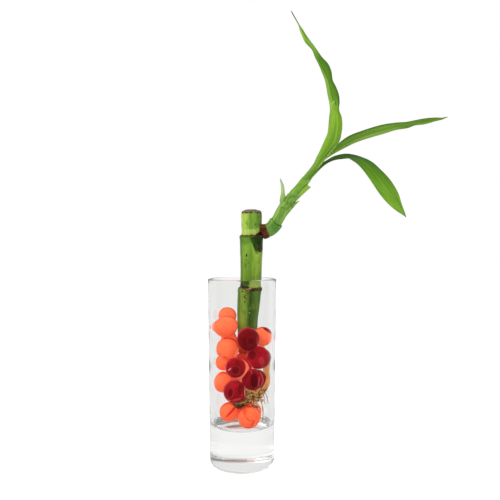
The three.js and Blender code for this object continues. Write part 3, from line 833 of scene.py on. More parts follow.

# %% [markdown]
# A dark wedge lies under the collar, each node has a wandering woody ring with a paler swelling above it,
# and the foot is red-orange. These are bands across the height, and each band's height is bent by noise,
# as a real ring is never level.

# %% Wedge, rings and foot
slant = side + z * 0.0716 - 8.86 + wander * 0.3 - 0.15
low_end = side * -3.5 + z + wander * 3
wedge = soft_step(slant, -0.05, 0.05) * soft_step(y, 7, 5.5)
wedge = wedge * soft_step(low_end, 116.2, 117.2) * soft_step(z, 126.2, 125.6)
wedge_bark = add_node(bark, "ValToRGB", blotch, stops=[(0.35, "#1a340d"), (0.65, "#34541a")])
WOOD = [(0.32, "#24190c"), (0.5, "#4f3a1e"), (0.62, "#6b5630"), (0.75, "#8d5f42")]
wood = add_node(bark, "ValToRGB", grain(place, 1.1, 3), stops=WOOD)
wavy = z + wander * 2.4 - 1.2
wavy_low = wavy - soft_step(side, 0.1, -0.9) * 1.3
wavy_top = wavy - soft_step(side, 0.3, 1.1) * 2.2
colour = paint(
    colour,
    (wedge, wedge_bark),
    # the paler swelling above a ring
    (band(wavy_low, 98.6, 0.6, 1.6) * soft_step(side, -0.3, 0.1) * 0.6, "#b9cb6c"),
    (band(wavy_top, 128.6, 0.6, 1.6) * 0.6, "#b9cb6c"),
    # the rings, from the lowest up
    (band(wavy, 67, 0.9, 0.35), wood),
    (band(wavy_low, 96.3, 0.8, 0.35), wood),
    (band(wavy_top, 126.2, 0.5, 0.35), wood),
    # the scar beside the collar, a darker band under the upper ring on the left, and the red-orange foot
    (spot(place, (9.6, 2, 127), (3.4, 5, 1.3), -20, wander * 0.8 - 0.4), "#432614"),
    (band(wavy_top, 124.2, 1.4, 1.6) * soft_step(side, 0.2, -0.2) * 0.6, "#4c7424"),
    (soft_step(z, 66.5, 64) * 0.9, "#e0503a"),
)
print("rings at", NODE_HEIGHTS)

# %% [markdown]
# Old bark is spotted with scars and specks, and these are placed one by one. Fine lines along the bark
# darken it a little everywhere. The cut at the top has dried to cork with a brown edge.

# %% Marks, fine lines and the dry cut
# place to the side and height, half width and half height, all in millimetres, and tint
CANE_MARKS = [
    (2.5, 115.4, 0.4, 0.9, "#101a08"),
    (7.3, 132.7, 0.6, 0.9, "#55772a"),
    (8.5, 131.3, 0.5, 0.5, "#5b7d2c"),
    (6.4, 134.5, 0.3, 0.3, "#5b7d2c"),
    (1.2, 99.2, 3.2, 1.7, "#46641f"),
    (2.6, 99.6, 1.2, 0.7, "#36541a"),
    (-0.8, 98.2, 1.4, 0.8, "#2a220f"),
    (2.2, 97.4, 2.6, 0.5, "#2e260f"),
    (4.6, 97, 1, 0.4, "#96a04c"),
    (3.2, 96.4, 1.3, 0.5, "#a06f58"),
    (6.2, 95.9, 0.6, 0.9, "#150f08"),
    (0.4, 97.4, 0.8, 0.5, "#1b140a"),
    (0.8, 93.6, 0.7, 0.5, "#b08a35"),
    (1.6, 91.9, 0.5, 0.6, "#4d3a17"),
    (0.5, 90.8, 0.5, 0.4, "#b08a35"),
    (1.5, 89.8, 0.4, 0.5, "#2b2110"),
    (2.1, 93.3, 0.35, 0.5, "#573818"),
    (4.2, 83.3, 0.35, 0.3, "#d5dcb8"),
    (0.2, 95.2, 0.6, 0.5, "#4a3a18"),
    (1.9, 95, 0.5, 0.4, "#6a4a24"),
    (3.1, 94.2, 0.6, 0.4, "#3a4a18"),
    (1.2, 92.7, 0.4, 0.4, "#3b2a12"),
    (2.6, 91.2, 0.35, 0.5, "#4a5a1c"),
    (0.2, 92.2, 0.35, 0.4, "#8a7030"),
    (2.3, 112.8, 0.3, 0.6, "#4a6c20"),
    (2, 109.6, 0.35, 0.9, "#587a26"),
    (3.4, 111.4, 0.3, 0.8, "#587a26"),
    (8.4, 116.9, 1.1, 0.8, "#5d8a34"),
]
MARK_FRONT = 0.3
MARK_DEPTH = 5
marks = [((x, MARK_FRONT, z), (wide, MARK_DEPTH, tall), 0, tint) for x, z, wide, tall, tint in CANE_MARKS]
colour = paint_marks(colour, place, marks, streak * 0.8 - 0.4)
fine_lines = grain(place, 2.2, 2, (1, 1, 0.04))
FINE_SHADES = [(0.35, "#e0e0d6"), (0.6, "#ffffff")]
colour = paint(colour, (1, add_node(bark, "ValToRGB", fine_lines, stops=FINE_SHADES)), blend="MULTIPLY")
CORK = [(0.3, "#4d4430"), (0.5, "#69634a"), (0.7, "#837b5c")]
cork = add_node(bark, "ValToRGB", grain(place, 0.9, 3), stops=CORK)
uneven_top = blotch * 0.6 + z - 0.3
colour = paint(
    colour,
    (soft_step(uneven_top, 139.1, 139.6), cork),
    (band(uneven_top, 139.3, 0.25, 0.4) * soft_step(streak, 0.35, 0.5), "#4a3524"),
)
relief = add_node(bark, "Bump", Height=streak, Strength=0.2, Distance=0.0002)
finish(cane_skin, Base_Color=colour, Normal=relief)
cane_body.data.materials.append(cane_skin)
print("marks on the bark:", len(CANE_MARKS), "nodes:", len(bark.nodes))

# %% Scale of the eye
eye_scale = new_material(
    # a dormant bud's scale: dry, papery and red-brown, greening at its edge
    "dry bud scale",
    Roughness=0.6,
    Specular_IOR_Level=0.15,
)
SCALE = [(0.36, "#3a1c12"), (0.46, "#4a2618"), (0.54, "#33290f"), (0.62, "#2f4416")]
tree = eye_scale.node_tree
mottle = grain(add_node(tree, "TexCoord", out="Object"), 0.7, 3)
finish(eye_scale, Base_Color=add_node(tree, "ValToRGB", mottle, stops=SCALE))
eye.data.materials.append(eye_scale)
put(join("bark_cane", [cane_body, eye]), "cane")

# %% [markdown]
# ## Side shoot
#
# The shoot leaves the cane through a swollen brown collar and climbs to the right. It is made of sheaths,
# each the foot of an older leaf rolled round the younger ones, like a telescope. They could be cones. A
# sheet rolled round the shoot's line gives each sheath its bend, its uneven skin and its thin mouth,
# drawn out in tips.

# %% The shoot's line, and a sheet rolled round it
SHOOT = Line(
    [
        (12.6, 4.4, 128.7), (14.4, 4.2, 129.3), (16.9, 3.8, 131.1), (19, 3.3, 133.7), (21.5, 2.7, 138.4),
        (24.6, 2.2, 143.4), (28.5, 1.7, 148.7), (32.4, 1.3, 153.5), (35.7, 1, 157.9), (37.4, 1, 160.3),
    ]
)
ROLLED_COLUMNS = 64
ROLLED_ROWS = 48


def around(line, along, side):
    """The way out of a line at a place along it. side is in degrees: 0 the front, 90 lower right."""
    way = line.way(along)
    front = Vector((0, -1, 0))
    front = (front - way * front.dot(way)).normalized()
    right = -front.cross(way)
    angle = math.radians(side)
    return front * math.cos(angle) + right * math.sin(angle)


def rolled(name, line, stops, tips=(), uneven=0.05):
    """A closed tube round a line, through stops of (length along, radius). Its mouth runs out in tips of
    (side, length, width in degrees)."""
    stops = [Vector((*stop, 0)) for stop in stops]

    def place(u, v):
        along, radius = smooth(stops, v)[:2]
        near_mouth = min(max((v - 0.3) / 0.4, 0), 1)
        for side, length, width in tips:
            away = (360 * u - side + 180) % 360 - 180
            along += near_mouth * length * math.exp(-((away / width) ** 2))
        along = min(along, line.length)
        out = around(line, along, 360 * u)
        radius *= 1 + uneven * noise.noise(Vector((out.x * 1.5, out.z * 1.5 + out.y, along * 0.3)))
        return line.at(along) + out * radius

    piece = sheet_of(name, ROLLED_COLUMNS, ROLLED_ROWS, place)
    close_up(piece)
    return piece


print("length of the shoot in mm:", round(SHOOT.length, 1))

# %% Sheaths and collar
# where each sheath begins and ends along the shoot, its radius at foot and mouth, and the tips of its mouth
SHEATHS = [
    (1.9, 8.0, 3.7, 4.05, [(285, 1.6, 35), (95, 0.8, 40)]),
    (8.6, 17.2, 3.15, 3.4, [(270, 1.5, 40), (80, 1.5, 60)]),
    (17.6, 26, 2.95, 3.05, [(95, 1.2, 50)]),
    (26, 36.6, 2.75, 2.4, [(290, 1.6, 25), (30, 0.6, 40), (88, 5.4, 50)]),
]
CLOSED = 0.01
sheaths = []
for start, end, foot, mouth, tips in SHEATHS:
    hidden = max(start - 1.2, 1.5)
    stops = [(hidden, CLOSED), (hidden, foot * 0.75), (start, foot), ((start + end) / 2, (foot + mouth) / 2)]
    stops += [(end - 0.15, mouth), (end, mouth - 0.12), (end, mouth * 0.6), (end, CLOSED)]
    sheaths.append(rolled("sheath", SHOOT, stops, tips))

COLLAR_FOOT = (11.1, 4.6, 128.3)
collar_line = Line([COLLAR_FOOT, (12.6, 4.4, 128.7), SHOOT.at(1.9)])
end = collar_line.length
stops = [(0.1, CLOSED), (0.1, 3.2), (0.5, 4.0), (1.1, 4.3), (end - 1, 4.1), (end - 0.3, 3.95), (end, 3.9)]
stops += [(end, 3.5), (end - 0.5, CLOSED)]
collar = rolled("brown_collar", collar_line, stops, [(250, 0.4, 40)], uneven=0.12)
print("sheaths:", len(sheaths))

# %% [markdown]
# ## A blade through stations
#
# A leaf of this plant is a long strap with close parallel veins. Its foot clasps the shoot and its blade
# opens, folds and twists. It could be bent with lattices, but a strap is described best by stations: at
# each one, where its two edges and its midrib are. Three smooth lines run through them. A section between
# the lines is an even curve, a sharp fold along the midrib, or something between. A fine grid is laid
# through the sections, veins are pressed in, and Solidify gives the strap its thickness.

# %% A blade through stations
LEAF_THICKNESS = 0.42
VEINS = 9
VEIN_DEPTH = 0.04
# the midrib is pressed in two and a half times as deep as a vein
MIDRIB_DEPTH = 2.5
MIDRIB_WIDTH = 0.07
# veins fade over a sixth of the length at the foot and at the tip
FADING_PARTS = 6


def clasp(along, side, radius, wrap):
    """A station on the shoot: one edge, the midrib and the other edge. The midrib lies at side, and wrap is
    how far round the shoot the blade reaches."""
    turns = (side - wrap / 2, side, side + wrap / 2)
    return tuple(SHOOT.at(along) + around(SHOOT, along, turn) * radius for turn in turns)


def section(rails, v, fold, columns):
    """The points across a strap at share v of its length. fold is 0 for a curve and 1 for a sharp fold."""
    one, middle, other = (smooth(rail, v) for rail in rails)
    half = (other - one) / 2
    sag = (one + other) / 2 - middle
    line = []
    for j in range(columns + 1):
        w = 2 * j / columns - 1
        even = middle + half * w + sag * w * w
        sharp = middle + ((other - middle) * w if w > 0 else (one - middle) * -w)
        line.append(even.lerp(sharp, fold))
    return line


def blade(name, stations, rows, columns, crease):
    """A strap through stations. crease says for a few shares of the length how sharply it is folded."""
    rails = [[Vector(station[i]) for station in stations] for i in range(3)]
    folds = [float(np.interp(row / rows, *zip(*crease))) for row in range(rows + 1)]
    lines = [section(rails, row / rows, folds[row], columns) for row in range(rows + 1)]
    return sheet_of(name, columns, rows, lambda u, v: lines[round(v * rows)][round(u * columns)])


def press_veins(piece, rows, columns):
    """Presses parallel veins and the midrib into a strap, fading at its foot and its tip."""
    normals = [vertex.normal.copy() for vertex in piece.data.vertices]
    for i, vertex in enumerate(piece.data.vertices):
        row, column = divmod(i, columns + 1)
        w = 2 * column / columns - 1
        v = row / rows
        fade = min(1, v * FADING_PARTS) * min(1, (1 - v) * FADING_PARTS)
        lift = math.cos(math.pi * VEINS * w) - MIDRIB_DEPTH * math.exp(-((w / MIDRIB_WIDTH) ** 2))
        vertex.co += normals[i] * lift * VEIN_DEPTH * fade * MM


def thicken(piece, thickness):
    """Gives a sheet its thickness in millimetres, evenly to both sides."""
    modifier = piece.modifiers.new("Thickness", "SOLIDIFY")
    modifier.thickness = thickness * MM
    modifier.offset = 0
    bpy.context.view_layer.objects.active = piece
    bpy.ops.object.modifier_apply(modifier=modifier.name)


# %% [markdown]
# Where a sheath ends, its dry tip stands off as a bract. There are three: a long one to the left, a short
# one to the right, and one higher up that the growing shoot has split. Each is a small blade whose foot
# clasps the shoot and whose tip stands free.

# %% Bracts
BRACT_THICKNESS = 0.3
BRACT_ROWS = 40
BRACT_COLUMNS = 24
BRACT_CREASE = [(0, 0), (1, 0.2)]
BRACTS = {
    "left bract": [
        clasp(11, 268, 3.1, 150),
        clasp(15.5, 268, 3.3, 140),
        ((21.2, 1.6, 146.4), (22.6, -0.4, 146.8), (24, 0.8, 147.2)),
        ((21.9, 1.4, 150.9), (22.8, 0, 150.7), (23.7, 0.8, 150.5)),
        ((21.7, 1, 154.7), (22.3, 0, 154.6), (23.2, 0.6, 154.4)),
        ((21.2, 0.4, 158.2), (21.3, 0.3, 158.2), (21.4, 0.3, 158.2)),
    ],
    "right bract": [
        clasp(10, 85, 3.1, 150),
        clasp(14.5, 85, 3.3, 140),
        ((26.5, -0.3, 142.2), (27, 1.2, 140.3), (28, 3, 143.1)),
        ((29.2, 0.2, 144.7), (29.6, 0.9, 143.4), (30.2, 1.8, 144.9)),
        ((31.8, 0.2, 145.9), (31.9, 0.3, 145.8), (32, 0.4, 146)),
    ],
    "split bract": [
        clasp(19, 95, 2.9, 130),
        clasp(24.5, 95, 3.05, 120),
        ((34.4, -1, 153.3), (35.2, -0.4, 150.8), (36, 1.4, 152.5)),
        ((36.6, -0.9, 154.6), (37.8, -0.7, 153.3), (38.2, -0.2, 153.8)),
    ],
}
bracts = []
for name, stations in BRACTS.items():
    bract = blade(name, stations, BRACT_ROWS, BRACT_COLUMNS, BRACT_CREASE)
    thicken(bract, BRACT_THICKNESS)
    bracts.append(bract)
print("bracts:", len(bracts))

# %% [markdown]
# Young sheaths are smooth and a little waxy, with fine lines from foot to tip. The lines could be
# modelled, but they are finer than a hair, so they are drawn on the piece's own UV map, which follows
# every bend, and they lift the surface only as relief. The free end of the left bract has dried pale, and
# the collar is corky.

# %% Lines from foot to tip
def fibres(tree, lines_across, lines_along, detail=2):
    """Noise drawn out from foot to tip, on the piece's own UV map."""
    uv = add_node(tree, "TexCoord", out="UV")
    scaled = add_node(tree, "Mapping", uv, None, None, (lines_across, lines_along, 1))
    return add_node(tree, "TexNoise", scaled, 1, detail)


def own_share(tree, axis):
    """How far a place lies across the piece, X, or along it, Y, from 0 to 1."""
    return add_node(tree, "SeparateXYZ", add_node(tree, "TexCoord", out="UV"), out=axis)


# %% Finish of the sheaths
sheath_skin = new_material(
    # young living leaf sheath: smooth, a little waxy, with fine lines along it
    "green leaf sheath",
    Roughness=0.45,
    Specular_IOR_Level=0.12,
)
SHEATH_GREENS = [(0.32, "#4f7429"), (0.46, "#648a35"), (0.58, "#7ea34a"), (0.72, "#93b35c")]
SHEATH_MARKS = [
    # a scar, the sheath's foot, and its shaded and its lit side
    ((23, -1.4, 141.6), (0.9, 2, 1.3), 20, "#5c6c30"),
    ((19.2, 1, 130.2), (3.8, 5, 2.2), 48, "#4a7a28"),
    ((21.6, 0, 138.5), (1.3, 5, 6), 22, "#628a34"),
    ((19.3, 0, 139.3), (0.8, 5, 6), 25, "#7fa64a"),
    # the lit edge of the split bract
    ((34.8, 0, 151.6), (1.2, 5, 4.6), 45, "#7ea236"),
]
tree = sheath_skin.node_tree
lines = fibres(tree, 40, 1.5)
place = add_node(tree, "TexCoord", out="Object")
z = in_mm(place, "Z")
colour = paint(
    add_node(tree, "ValToRGB", lines, stops=SHEATH_GREENS),
    (soft_step(grain(place, 0.35), 0.45, 0.7), "#557c2b"),
    (soft_step(z, 148.5, 153) * 0.65, "#6c982c"),
    (soft_step(z, 135.5, 131.5) * 0.6, "#4f7a34"),
)
relief = add_node(tree, "Bump", Height=lines, Strength=0.25, Distance=0.0001)
finish(sheath_skin, Base_Color=paint_marks(colour, place, SHEATH_MARKS), Normal=relief)
print(sheath_skin.name, "nodes", len(tree.nodes))

# %% Finish of the dry bract
dry_skin = new_material(
    # the drying free end of a sheath: thin and paler than the rest
    "pale dry bract",
    Roughness=0.5,
)
DRYING = [(0.35, "#7b9f48"), (0.6, "#9db86c"), (0.85, "#a9b98c"), (1, "#7d8a5e")]
tree = dry_skin.node_tree
drying = add_node(tree, "ValToRGB", own_share(tree, "Y"), stops=DRYING)
green_lines = soft_step(fibres(tree, 20, 1.5), 0.45, 0.7) * 0.5
finish(dry_skin, Base_Color=paint(drying, (green_lines, "#6d9040")))
print(dry_skin.name, "nodes", len(tree.nodes))

# %% Finish of the collar
collar_skin = new_material(
    # the swollen scale at the node: corky, dark red-brown
    "corky brown collar",
    Roughness=0.7,
    Specular_IOR_Level=0.15,
)
CORKY = [(0.3, "#35150b"), (0.5, "#532411"), (0.7, "#6e4020")]
tree = collar_skin.node_tree
lines = fibres(tree, 14, 1.5, 3)
pale_mouth = band(own_share(tree, "Y"), 0.8, 0.03, 0.04)
colour = paint(add_node(tree, "ValToRGB", lines, stops=CORKY), (pale_mouth, "#b9a879"))
relief = add_node(tree, "Bump", Height=lines, Strength=0.5, Distance=0.0003)
finish(collar_skin, Base_Color=colour, Normal=relief)

for sheath in sheaths:
    sheath.data.materials.append(sheath_skin)
for bract, skin in zip(bracts, (dry_skin, sheath_skin, sheath_skin)):
    bract.data.materials.append(skin)
collar.data.materials.append(collar_skin)
put(collar, "bud_collar")
put(join("sheathed_shoot", sheaths + bracts), "side_shoot")

# %% [markdown]
# ## Leaves
#
# Three leaves spread from the top sheath. Their stations were read from the photograph for place and
# height, and chosen for depth, so that each blade turns as it seems to. Each leaf also lists the greens
# along its two halves, painted light on one and painted shade on the other, as a folded blade shows a lit
# and a shaded half, and a few marks: painted highlights and painted shade at its creases, a lit edge and a
# dark fold. split says where across the blade the halves meet, and painted_edge how much painted shade
# darkens its far edge.

# %% The upright leaf
# a station is one edge, the midrib and the other edge, in millimetres, from the foot to the tip
UPRIGHT = dict(
    stations=[
        clasp(30.6, 335, 2.1, 140),
        clasp(33.5, 335, 2.1, 145),
        clasp(36.8, 335, 2.1, 150),
        ((39.9, 1.2, 166.4), (41.4, -2.2, 165.3), (44.6, -2.2, 166.6)),
        ((41.8, 0.8, 170.4), (43.6, -2.2, 169.6), (47.4, -0.9, 170.3)),
        ((43.7, 0.5, 174.2), (46.2, -1.8, 173.8), (50.1, -0.6, 173.9)),
        ((45.7, -0.6, 179), (49.3, -1.6, 178.8), (54.1, -0.8, 178.9)),
        ((47.4, -1.4, 183.1), (50.6, -2.2, 183.1), (55.1, -1.4, 183.3)),
        ((47.9, -1.8, 187.6), (51.2, -2.5, 187.4), (55.5, -1.6, 187.1)),
        ((48.3, -2, 192), (51.2, -2.8, 191.8), (55.1, -1.8, 191.8)),
        ((48.7, -2.2, 195.8), (50.8, -3.4, 195.5), (53.6, -2, 196.1)),
        ((48.4, -1.8, 199.8), (50.2, -4.4, 199.1), (53.8, -2.4, 200.4)),
        ((47.5, -1.8, 204.2), (49.1, -4.8, 203.3), (53.3, -2.8, 204.2)),
        ((46.7, -2.2, 208.5), (48.1, -4.8, 207.7), (51.6, -3.2, 208.5)),
        ((45.8, -2.6, 212.3), (47.1, -4.8, 211.5), (49.9, -3.4, 211.7)),
        ((44.1, -3, 216.5), (45.2, -5, 215.9), (49.1, -3.6, 216.6)),
        ((42.2, -3.4, 220.8), (43, -5.2, 219.9), (47.3, -4, 220.6)),
        ((40.2, -4, 224.4), (41.2, -5.2, 223.9), (43.9, -4.4, 224.1)),
        ((38.6, -4.6, 228.1), (39.3, -5.4, 227.6), (41, -5, 227.9)),
        ((34.6, -4.8, 232.3), (36.6, -5.6, 231.8), (37.8, -5.4, 232.1)),
        ((33, -5.2, 235.5), (34.1, -5.8, 235.1), (35.3, -5.6, 235.3)),
        ((31.7, -5.6, 238.6), (32.4, -6, 238.3), (33.3, -5.8, 238.5)),
        ((31, -5.9, 241), (31.2, -6, 240.9), (31.5, -5.9, 241)),
        ((28.8, -6.2, 244.9), (28.9, -6.3, 244.8), (29.1, -6.2, 244.9)),
        ((26.7, -6.5, 248.7), (26.8, -6.5, 248.7), (26.9, -6.5, 248.7)),
    ],
    crease=[(0, 0), (0.3, 0.2), (0.42, 0.3), (0.5, 0.8), (0.8, 0.8), (1, 0.3)],
    rows=180,
    split=0.45,
    painted_edge=0.25,
    # painted highlights and painted shade at the twist: pale lit lines, a shaded wedge, a shaded right edge
    # and a lit patch
    marks=[
        ((47.4, -1, 170.4), (0.45, 4, 10.5), 40.6, "#a6cb6c"),
        ((50.4, -3, 199.6), (0.4, 4, 1.7), 55, "#a3c45c"),
        ((51.4, -3, 199.4), (0.45, 4, 1.9), -12, "#4f7a1e"),
        ((53.2, -2, 202), (0.4, 4, 5), -3, "#3f6618"),
        ((48.3, -2, 193), (0.5, 4, 5), 0, "#74a038"),
    ],
    first_half=[
        (0.1, "#739c38"), (0.25, "#83ae38"), (0.4, "#8ab040"), (0.44, "#8bb044"), (0.5, "#7ba63a"),
        (0.58, "#82aa40"), (0.65, "#6c972f"), (0.76, "#65912b"), (0.83, "#93b846"), (0.91, "#93b64a"),
        (0.96, "#76834c"), (1, "#615c42"),
    ],
    second_half=[
        (0.1, "#668f2e"), (0.25, "#74a02f"), (0.38, "#82ae2c"), (0.44, "#80aa33"), (0.48, "#5e8a26"),
        (0.6, "#5a8624"), (0.7, "#4e7b1e"), (0.745, "#76a436"), (0.8, "#7dab3c"), (0.84, "#69962f"),
        (0.92, "#7ba33c"), (0.96, "#76834c"), (1, "#615c42"),
    ],
)
print("stations of the upright leaf:", len(UPRIGHT["stations"]))

# %% The spreading leaf
SPREADING = dict(
    stations=[
        clasp(30.6, 200, 2.1, 100),
        clasp(33.5, 200, 2.0, 100),
        clasp(36.8, 200, 1.9, 110),
        ((45.8, 3.2, 168.5), (46.7, 3.8, 170.6), (47.3, 3.6, 172)),
        ((51.2, 3.8, 172.4), (51.1, 4.8, 174.5), (50.9, 5, 175.6)),
        ((57.1, 5, 175.8), (55.7, 6.6, 178.1), (55.1, 7, 179.4)),
        ((64.1, 8, 179.6), (62.3, 10, 182.5), (61.3, 10.2, 184.1)),
        ((73.3, 13.4, 183.6), (72.9, 16.2, 187.5), (72.2, 16, 189.1)),
        ((82.9, 17.6, 187), (83.5, 20.4, 191.4), (83.2, 20.2, 193)),
        ((91.8, 21, 190.2), (92.5, 23.4, 193.7), (92.4, 23, 194.9)),
        ((99.4, 23.8, 192), (99.2, 25.4, 194.6), (98.8, 25, 195.8)),
        ((104.4, 25.6, 194), (104.5, 26.6, 196), (104.1, 26.4, 197.1)),
        ((110.6, 27, 195), (110.8, 27.8, 197.3), (110.8, 27.6, 198.6)),
        ((118, 28.3, 197.3), (118.1, 28.8, 198.6), (118, 28.6, 199.4)),
        ((122.6, 29.2, 198.6), (122.6, 29.3, 199.1), (122.6, 29.3, 199.6)),
        ((125.6, 29.6, 200), (125.7, 29.6, 200.1), (125.6, 29.6, 200.3)),
    ],
    crease=[(0, 0), (0.3, 0.7), (0.9, 0.7), (1, 0)],
    rows=140,
    split=0.2,
    painted_edge=0.6,
    marks=[],
    # a pale foot, partly painted light against the shade that falls on it
    first_half=[
        (0.2, "#a4cc5a"), (0.27, "#84aa44"), (0.5, "#80a344"), (0.6, "#769c3a"), (0.67, "#54781f"),
        (0.76, "#6c9130"), (0.92, "#71902f"), (1, "#8a9a5a"),
    ],
    second_half=[
        (0.2, "#a0ca56"), (0.25, "#7aa63c"), (0.32, "#628e2a"), (0.45, "#66902c"), (0.55, "#6b9631"),
        (0.65, "#69932f"), (0.78, "#618729"), (0.92, "#6b8b2c"), (1, "#8a9a5a"),
    ],
)
print("stations of the spreading leaf:", len(SPREADING["stations"]))

# %% The arching leaf
ARCHING = dict(
    stations=[
        clasp(30.6, 82, 1.8, 120),
        clasp(33.5, 82, 1.8, 120),
        clasp(36.8, 82, 1.85, 120),
        ((44.1, -2.1, 166.2), (45.4, -2.0, 165.2), (44.9, -0.9, 166.3)),
        ((49.6, -4.6, 169.2), (50.3, -3.8, 167.7), (50.1, -1.8, 169.9)),
        ((55.5, -7, 170.3), (56, -5.2, 168.4), (56.9, -2.2, 171.5)),
        ((58.3, -9.2, 167.7), (59.9, -6.8, 168.3), (61.8, -3.4, 170.7)),
        ((61.9, -10.5, 164.8), (63.7, -8.3, 167.2), (65.1, -5.5, 169.2)),
        ((65.3, -12, 160.5), (68, -10.4, 163.8), (69.9, -8.2, 166.3)),
        ((68.7, -13.4, 155.1), (71.9, -12.2, 158.5), (74.7, -10.6, 161.3)),
        ((72.7, -15.4, 148.2), (76.2, -14.2, 152), (79.2, -13, 155.4)),
        ((76.7, -17, 142.8), (79.8, -16, 145.9), (82.6, -15, 148.6)),
        ((80.7, -18.4, 139), (82.5, -17.6, 141), (83.9, -17, 142.8)),
        ((83.5, -19.2, 137), (84.2, -18.9, 138), (84.8, -18.6, 138.8)),
        ((85.2, -19.8, 135.7), (85.3, -19.8, 135.6), (85.3, -19.8, 135.7)),
    ],
    crease=[(0, 0), (0.3, 0.5), (0.5, 0.4), (0.9, 0.3), (1, 0)],
    rows=140,
    split=0.5,
    painted_edge=0.15,
    marks=[],
    # painted shade: dark along the stretch where the underside of the arch is seen, paler down the hanging
    # part
    first_half=[
        (0.175, "#6f9c30"), (0.215, "#33521a"), (0.36, "#38601b"), (0.46, "#44701e"), (0.56, "#578420"),
        (0.66, "#659328"), (0.82, "#76a330"), (0.95, "#719a33"), (1, "#5f6238"),
    ],
    second_half=[
        (0.175, "#6f9c30"), (0.215, "#2b4512"), (0.36, "#2d5219"), (0.46, "#365f1a"), (0.56, "#46721c"),
        (0.66, "#558222"), (0.82, "#6f9b2b"), (0.95, "#68902d"), (1, "#5f6238"),
    ],
)
print("stations of the arching leaf:", len(ARCHING["stations"]))

# %% [markdown]
# A leaf's skin is thin and softly glossy. Its greens run along each half, wavering a little with the
# veins. The veins and a few broad bands darken it slightly, and the veins lift it as fine relief.

# %% Finish of the leaves
LEAF_COLUMNS = 48
VEIN_SHADES = [(0.3, "#cfcfc4"), (0.55, "#ffffff")]
BROAD_SHADES = [(0.35, "#e2e6d2"), (0.6, "#ffffff")]


def leaf_finish(name, leaf):
    """The skin of one leaf."""
    material = new_material(
        # living dracaena leaf: thin, smooth, softly glossy, with close parallel veins
        f"green dracaena {name}",
        Roughness=0.42,
        Specular_IOR_Level=0.12,
    )
    tree = material.node_tree
    veins = fibres(tree, 26, 1.2)
    wavering = own_share(tree, "Y") + veins * 0.08 - 0.04
    across = own_share(tree, "X")
    first = add_node(tree, "ValToRGB", wavering, stops=leaf["first_half"])
    second = add_node(tree, "ValToRGB", wavering, stops=leaf["second_half"])
    second_side = soft_step(across, leaf["split"] - 0.05, leaf["split"] + 0.05)
    # painted shade that darkens the far edge
    painted_edge_shade = soft_step(across, 0.8, 0.93) * leaf["painted_edge"]
    colour = paint(first, (second_side, second), (painted_edge_shade, "#2f4f12"))
    colour = paint_marks(colour, add_node(tree, "TexCoord", out="Object"), leaf["marks"])
    vein_shade = add_node(tree, "ValToRGB", veins, stops=VEIN_SHADES)
    broad_shade = add_node(tree, "ValToRGB", fibres(tree, 2.5, 6), stops=BROAD_SHADES)
    colour = paint(colour, (1, vein_shade), (1, broad_shade), blend="MULTIPLY")
    relief = add_node(tree, "Bump", Height=veins, Strength=0.25, Distance=0.0001)
    finish(material, Base_Color=colour, Normal=relief)
    return material


for node, leaf in (("leaf_upright", UPRIGHT), ("leaf_spreading", SPREADING), ("leaf_arching", ARCHING)):
    piece = blade(f"{node}_blade", leaf["stations"], leaf["rows"], LEAF_COLUMNS, leaf["crease"])
    press_veins(piece, leaf["rows"], LEAF_COLUMNS)
    thicken(piece, LEAF_THICKNESS)
    piece.data.materials.append(leaf_finish(node, leaf))
    put(piece, node)

# %% [markdown]
# ## Roots
#
# Tan roots grow from the lowest node ring, run down the wall of the glass behind the beads and curl into
# a tangle. Each is a curve with a round section. It follows guide points, and is then eased: smoothed,
# and pushed off the beads, the cane and the glass, as a root finds its way round them. Thinner strands
# wind beside each root, others wander in the pocket under the crimson beads, and short pale hairs stand
# off them all. The random draws are seeded, so the tangle is the same each time.

# %% Root guides
# where a root leaves the cane, in degrees round it, its radius and its guide points, in millimetres
ROOTS = [
    (
        -25, 0.7,
        [
            (15, 1.2, 60), (14.6, 0.4, 53), (14, -1, 46), (12.4, -4, 41.6), (8.6, -8, 38.8),
            (3.4, -11.6, 37.4), (-3.5, -13.6, 36.4),
        ],
    ),
    (
        5, 0.65,
        [
            (14.2, 5.6, 58), (14.4, 3, 50), (13.4, -0.6, 44), (10.4, -5, 40.4), (6, -8.6, 38.6),
            (1.6, -11.6, 36.8),
        ],
    ),
    (35, 0.7, [(12.4, 9, 57), (13.4, 5.6, 48), (12.6, 1, 42.4), (9.6, -4, 39.4), (4.8, -8.4, 37.8)]),
    (
        80, 0.6,
        [
            (6, 13.4, 56), (8, 12, 46), (10, 5.5, 41), (8.6, -2.5, 39.4), (4, -8.4, 38.8), (1.5, -10, 37),
        ],
    ),
    (130, 0.55, [(2, 13.4, 54), (4.4, 12, 44), (8, 7, 39.6), (10.6, 0, 38.4), (8.4, -6, 37)]),
]
# loops of the tangle under the crimson beads: radius and guide points
LOOPS = [
    (
        0.5,
        [
            (9.6, -3.5, 42), (6, -6.5, 40.4), (3.8, -8, 38.4), (5.2, -8.8, 36.6), (8.6, -7, 37.4),
            (12, -3.5, 40.6),
        ],
    ),
    (0.42, [(10.6, -4.5, 41.2), (7.4, -7.5, 39.4), (5.6, -8.6, 38), (7, -8.8, 36.2), (10.2, -6.4, 37.6)]),
    (0.38, [(3.4, -9.4, 36.8), (5.6, -9.8, 35.4), (7.6, -9.6, 33.8), (8.8, -9, 34.6)]),
]
# rootlets: the root they leave, how far along it, radius and guide points
ROOTLETS = [
    (1, 0.72, 0.28, [(11.4, -5.4, 33), (11.4, -5.6, 28.4), (10.8, -5.8, 25)]),
    (0, 0.6, 0.2, [(14, -3.2, 38), (13.6, -3.8, 36.2), (14.2, -3.4, 34)]),
    (2, 0.75, 0.2, [(12.6, -3, 37), (11.6, -4, 35.4), (12.8, -4, 34)]),
]
# how many parts a path has between two guide points
GUIDE_STEPS = 6
# how often a path is eased
ROOT_TURNS = 60
FINE_TURNS = 12
HAIR_TURNS = 6
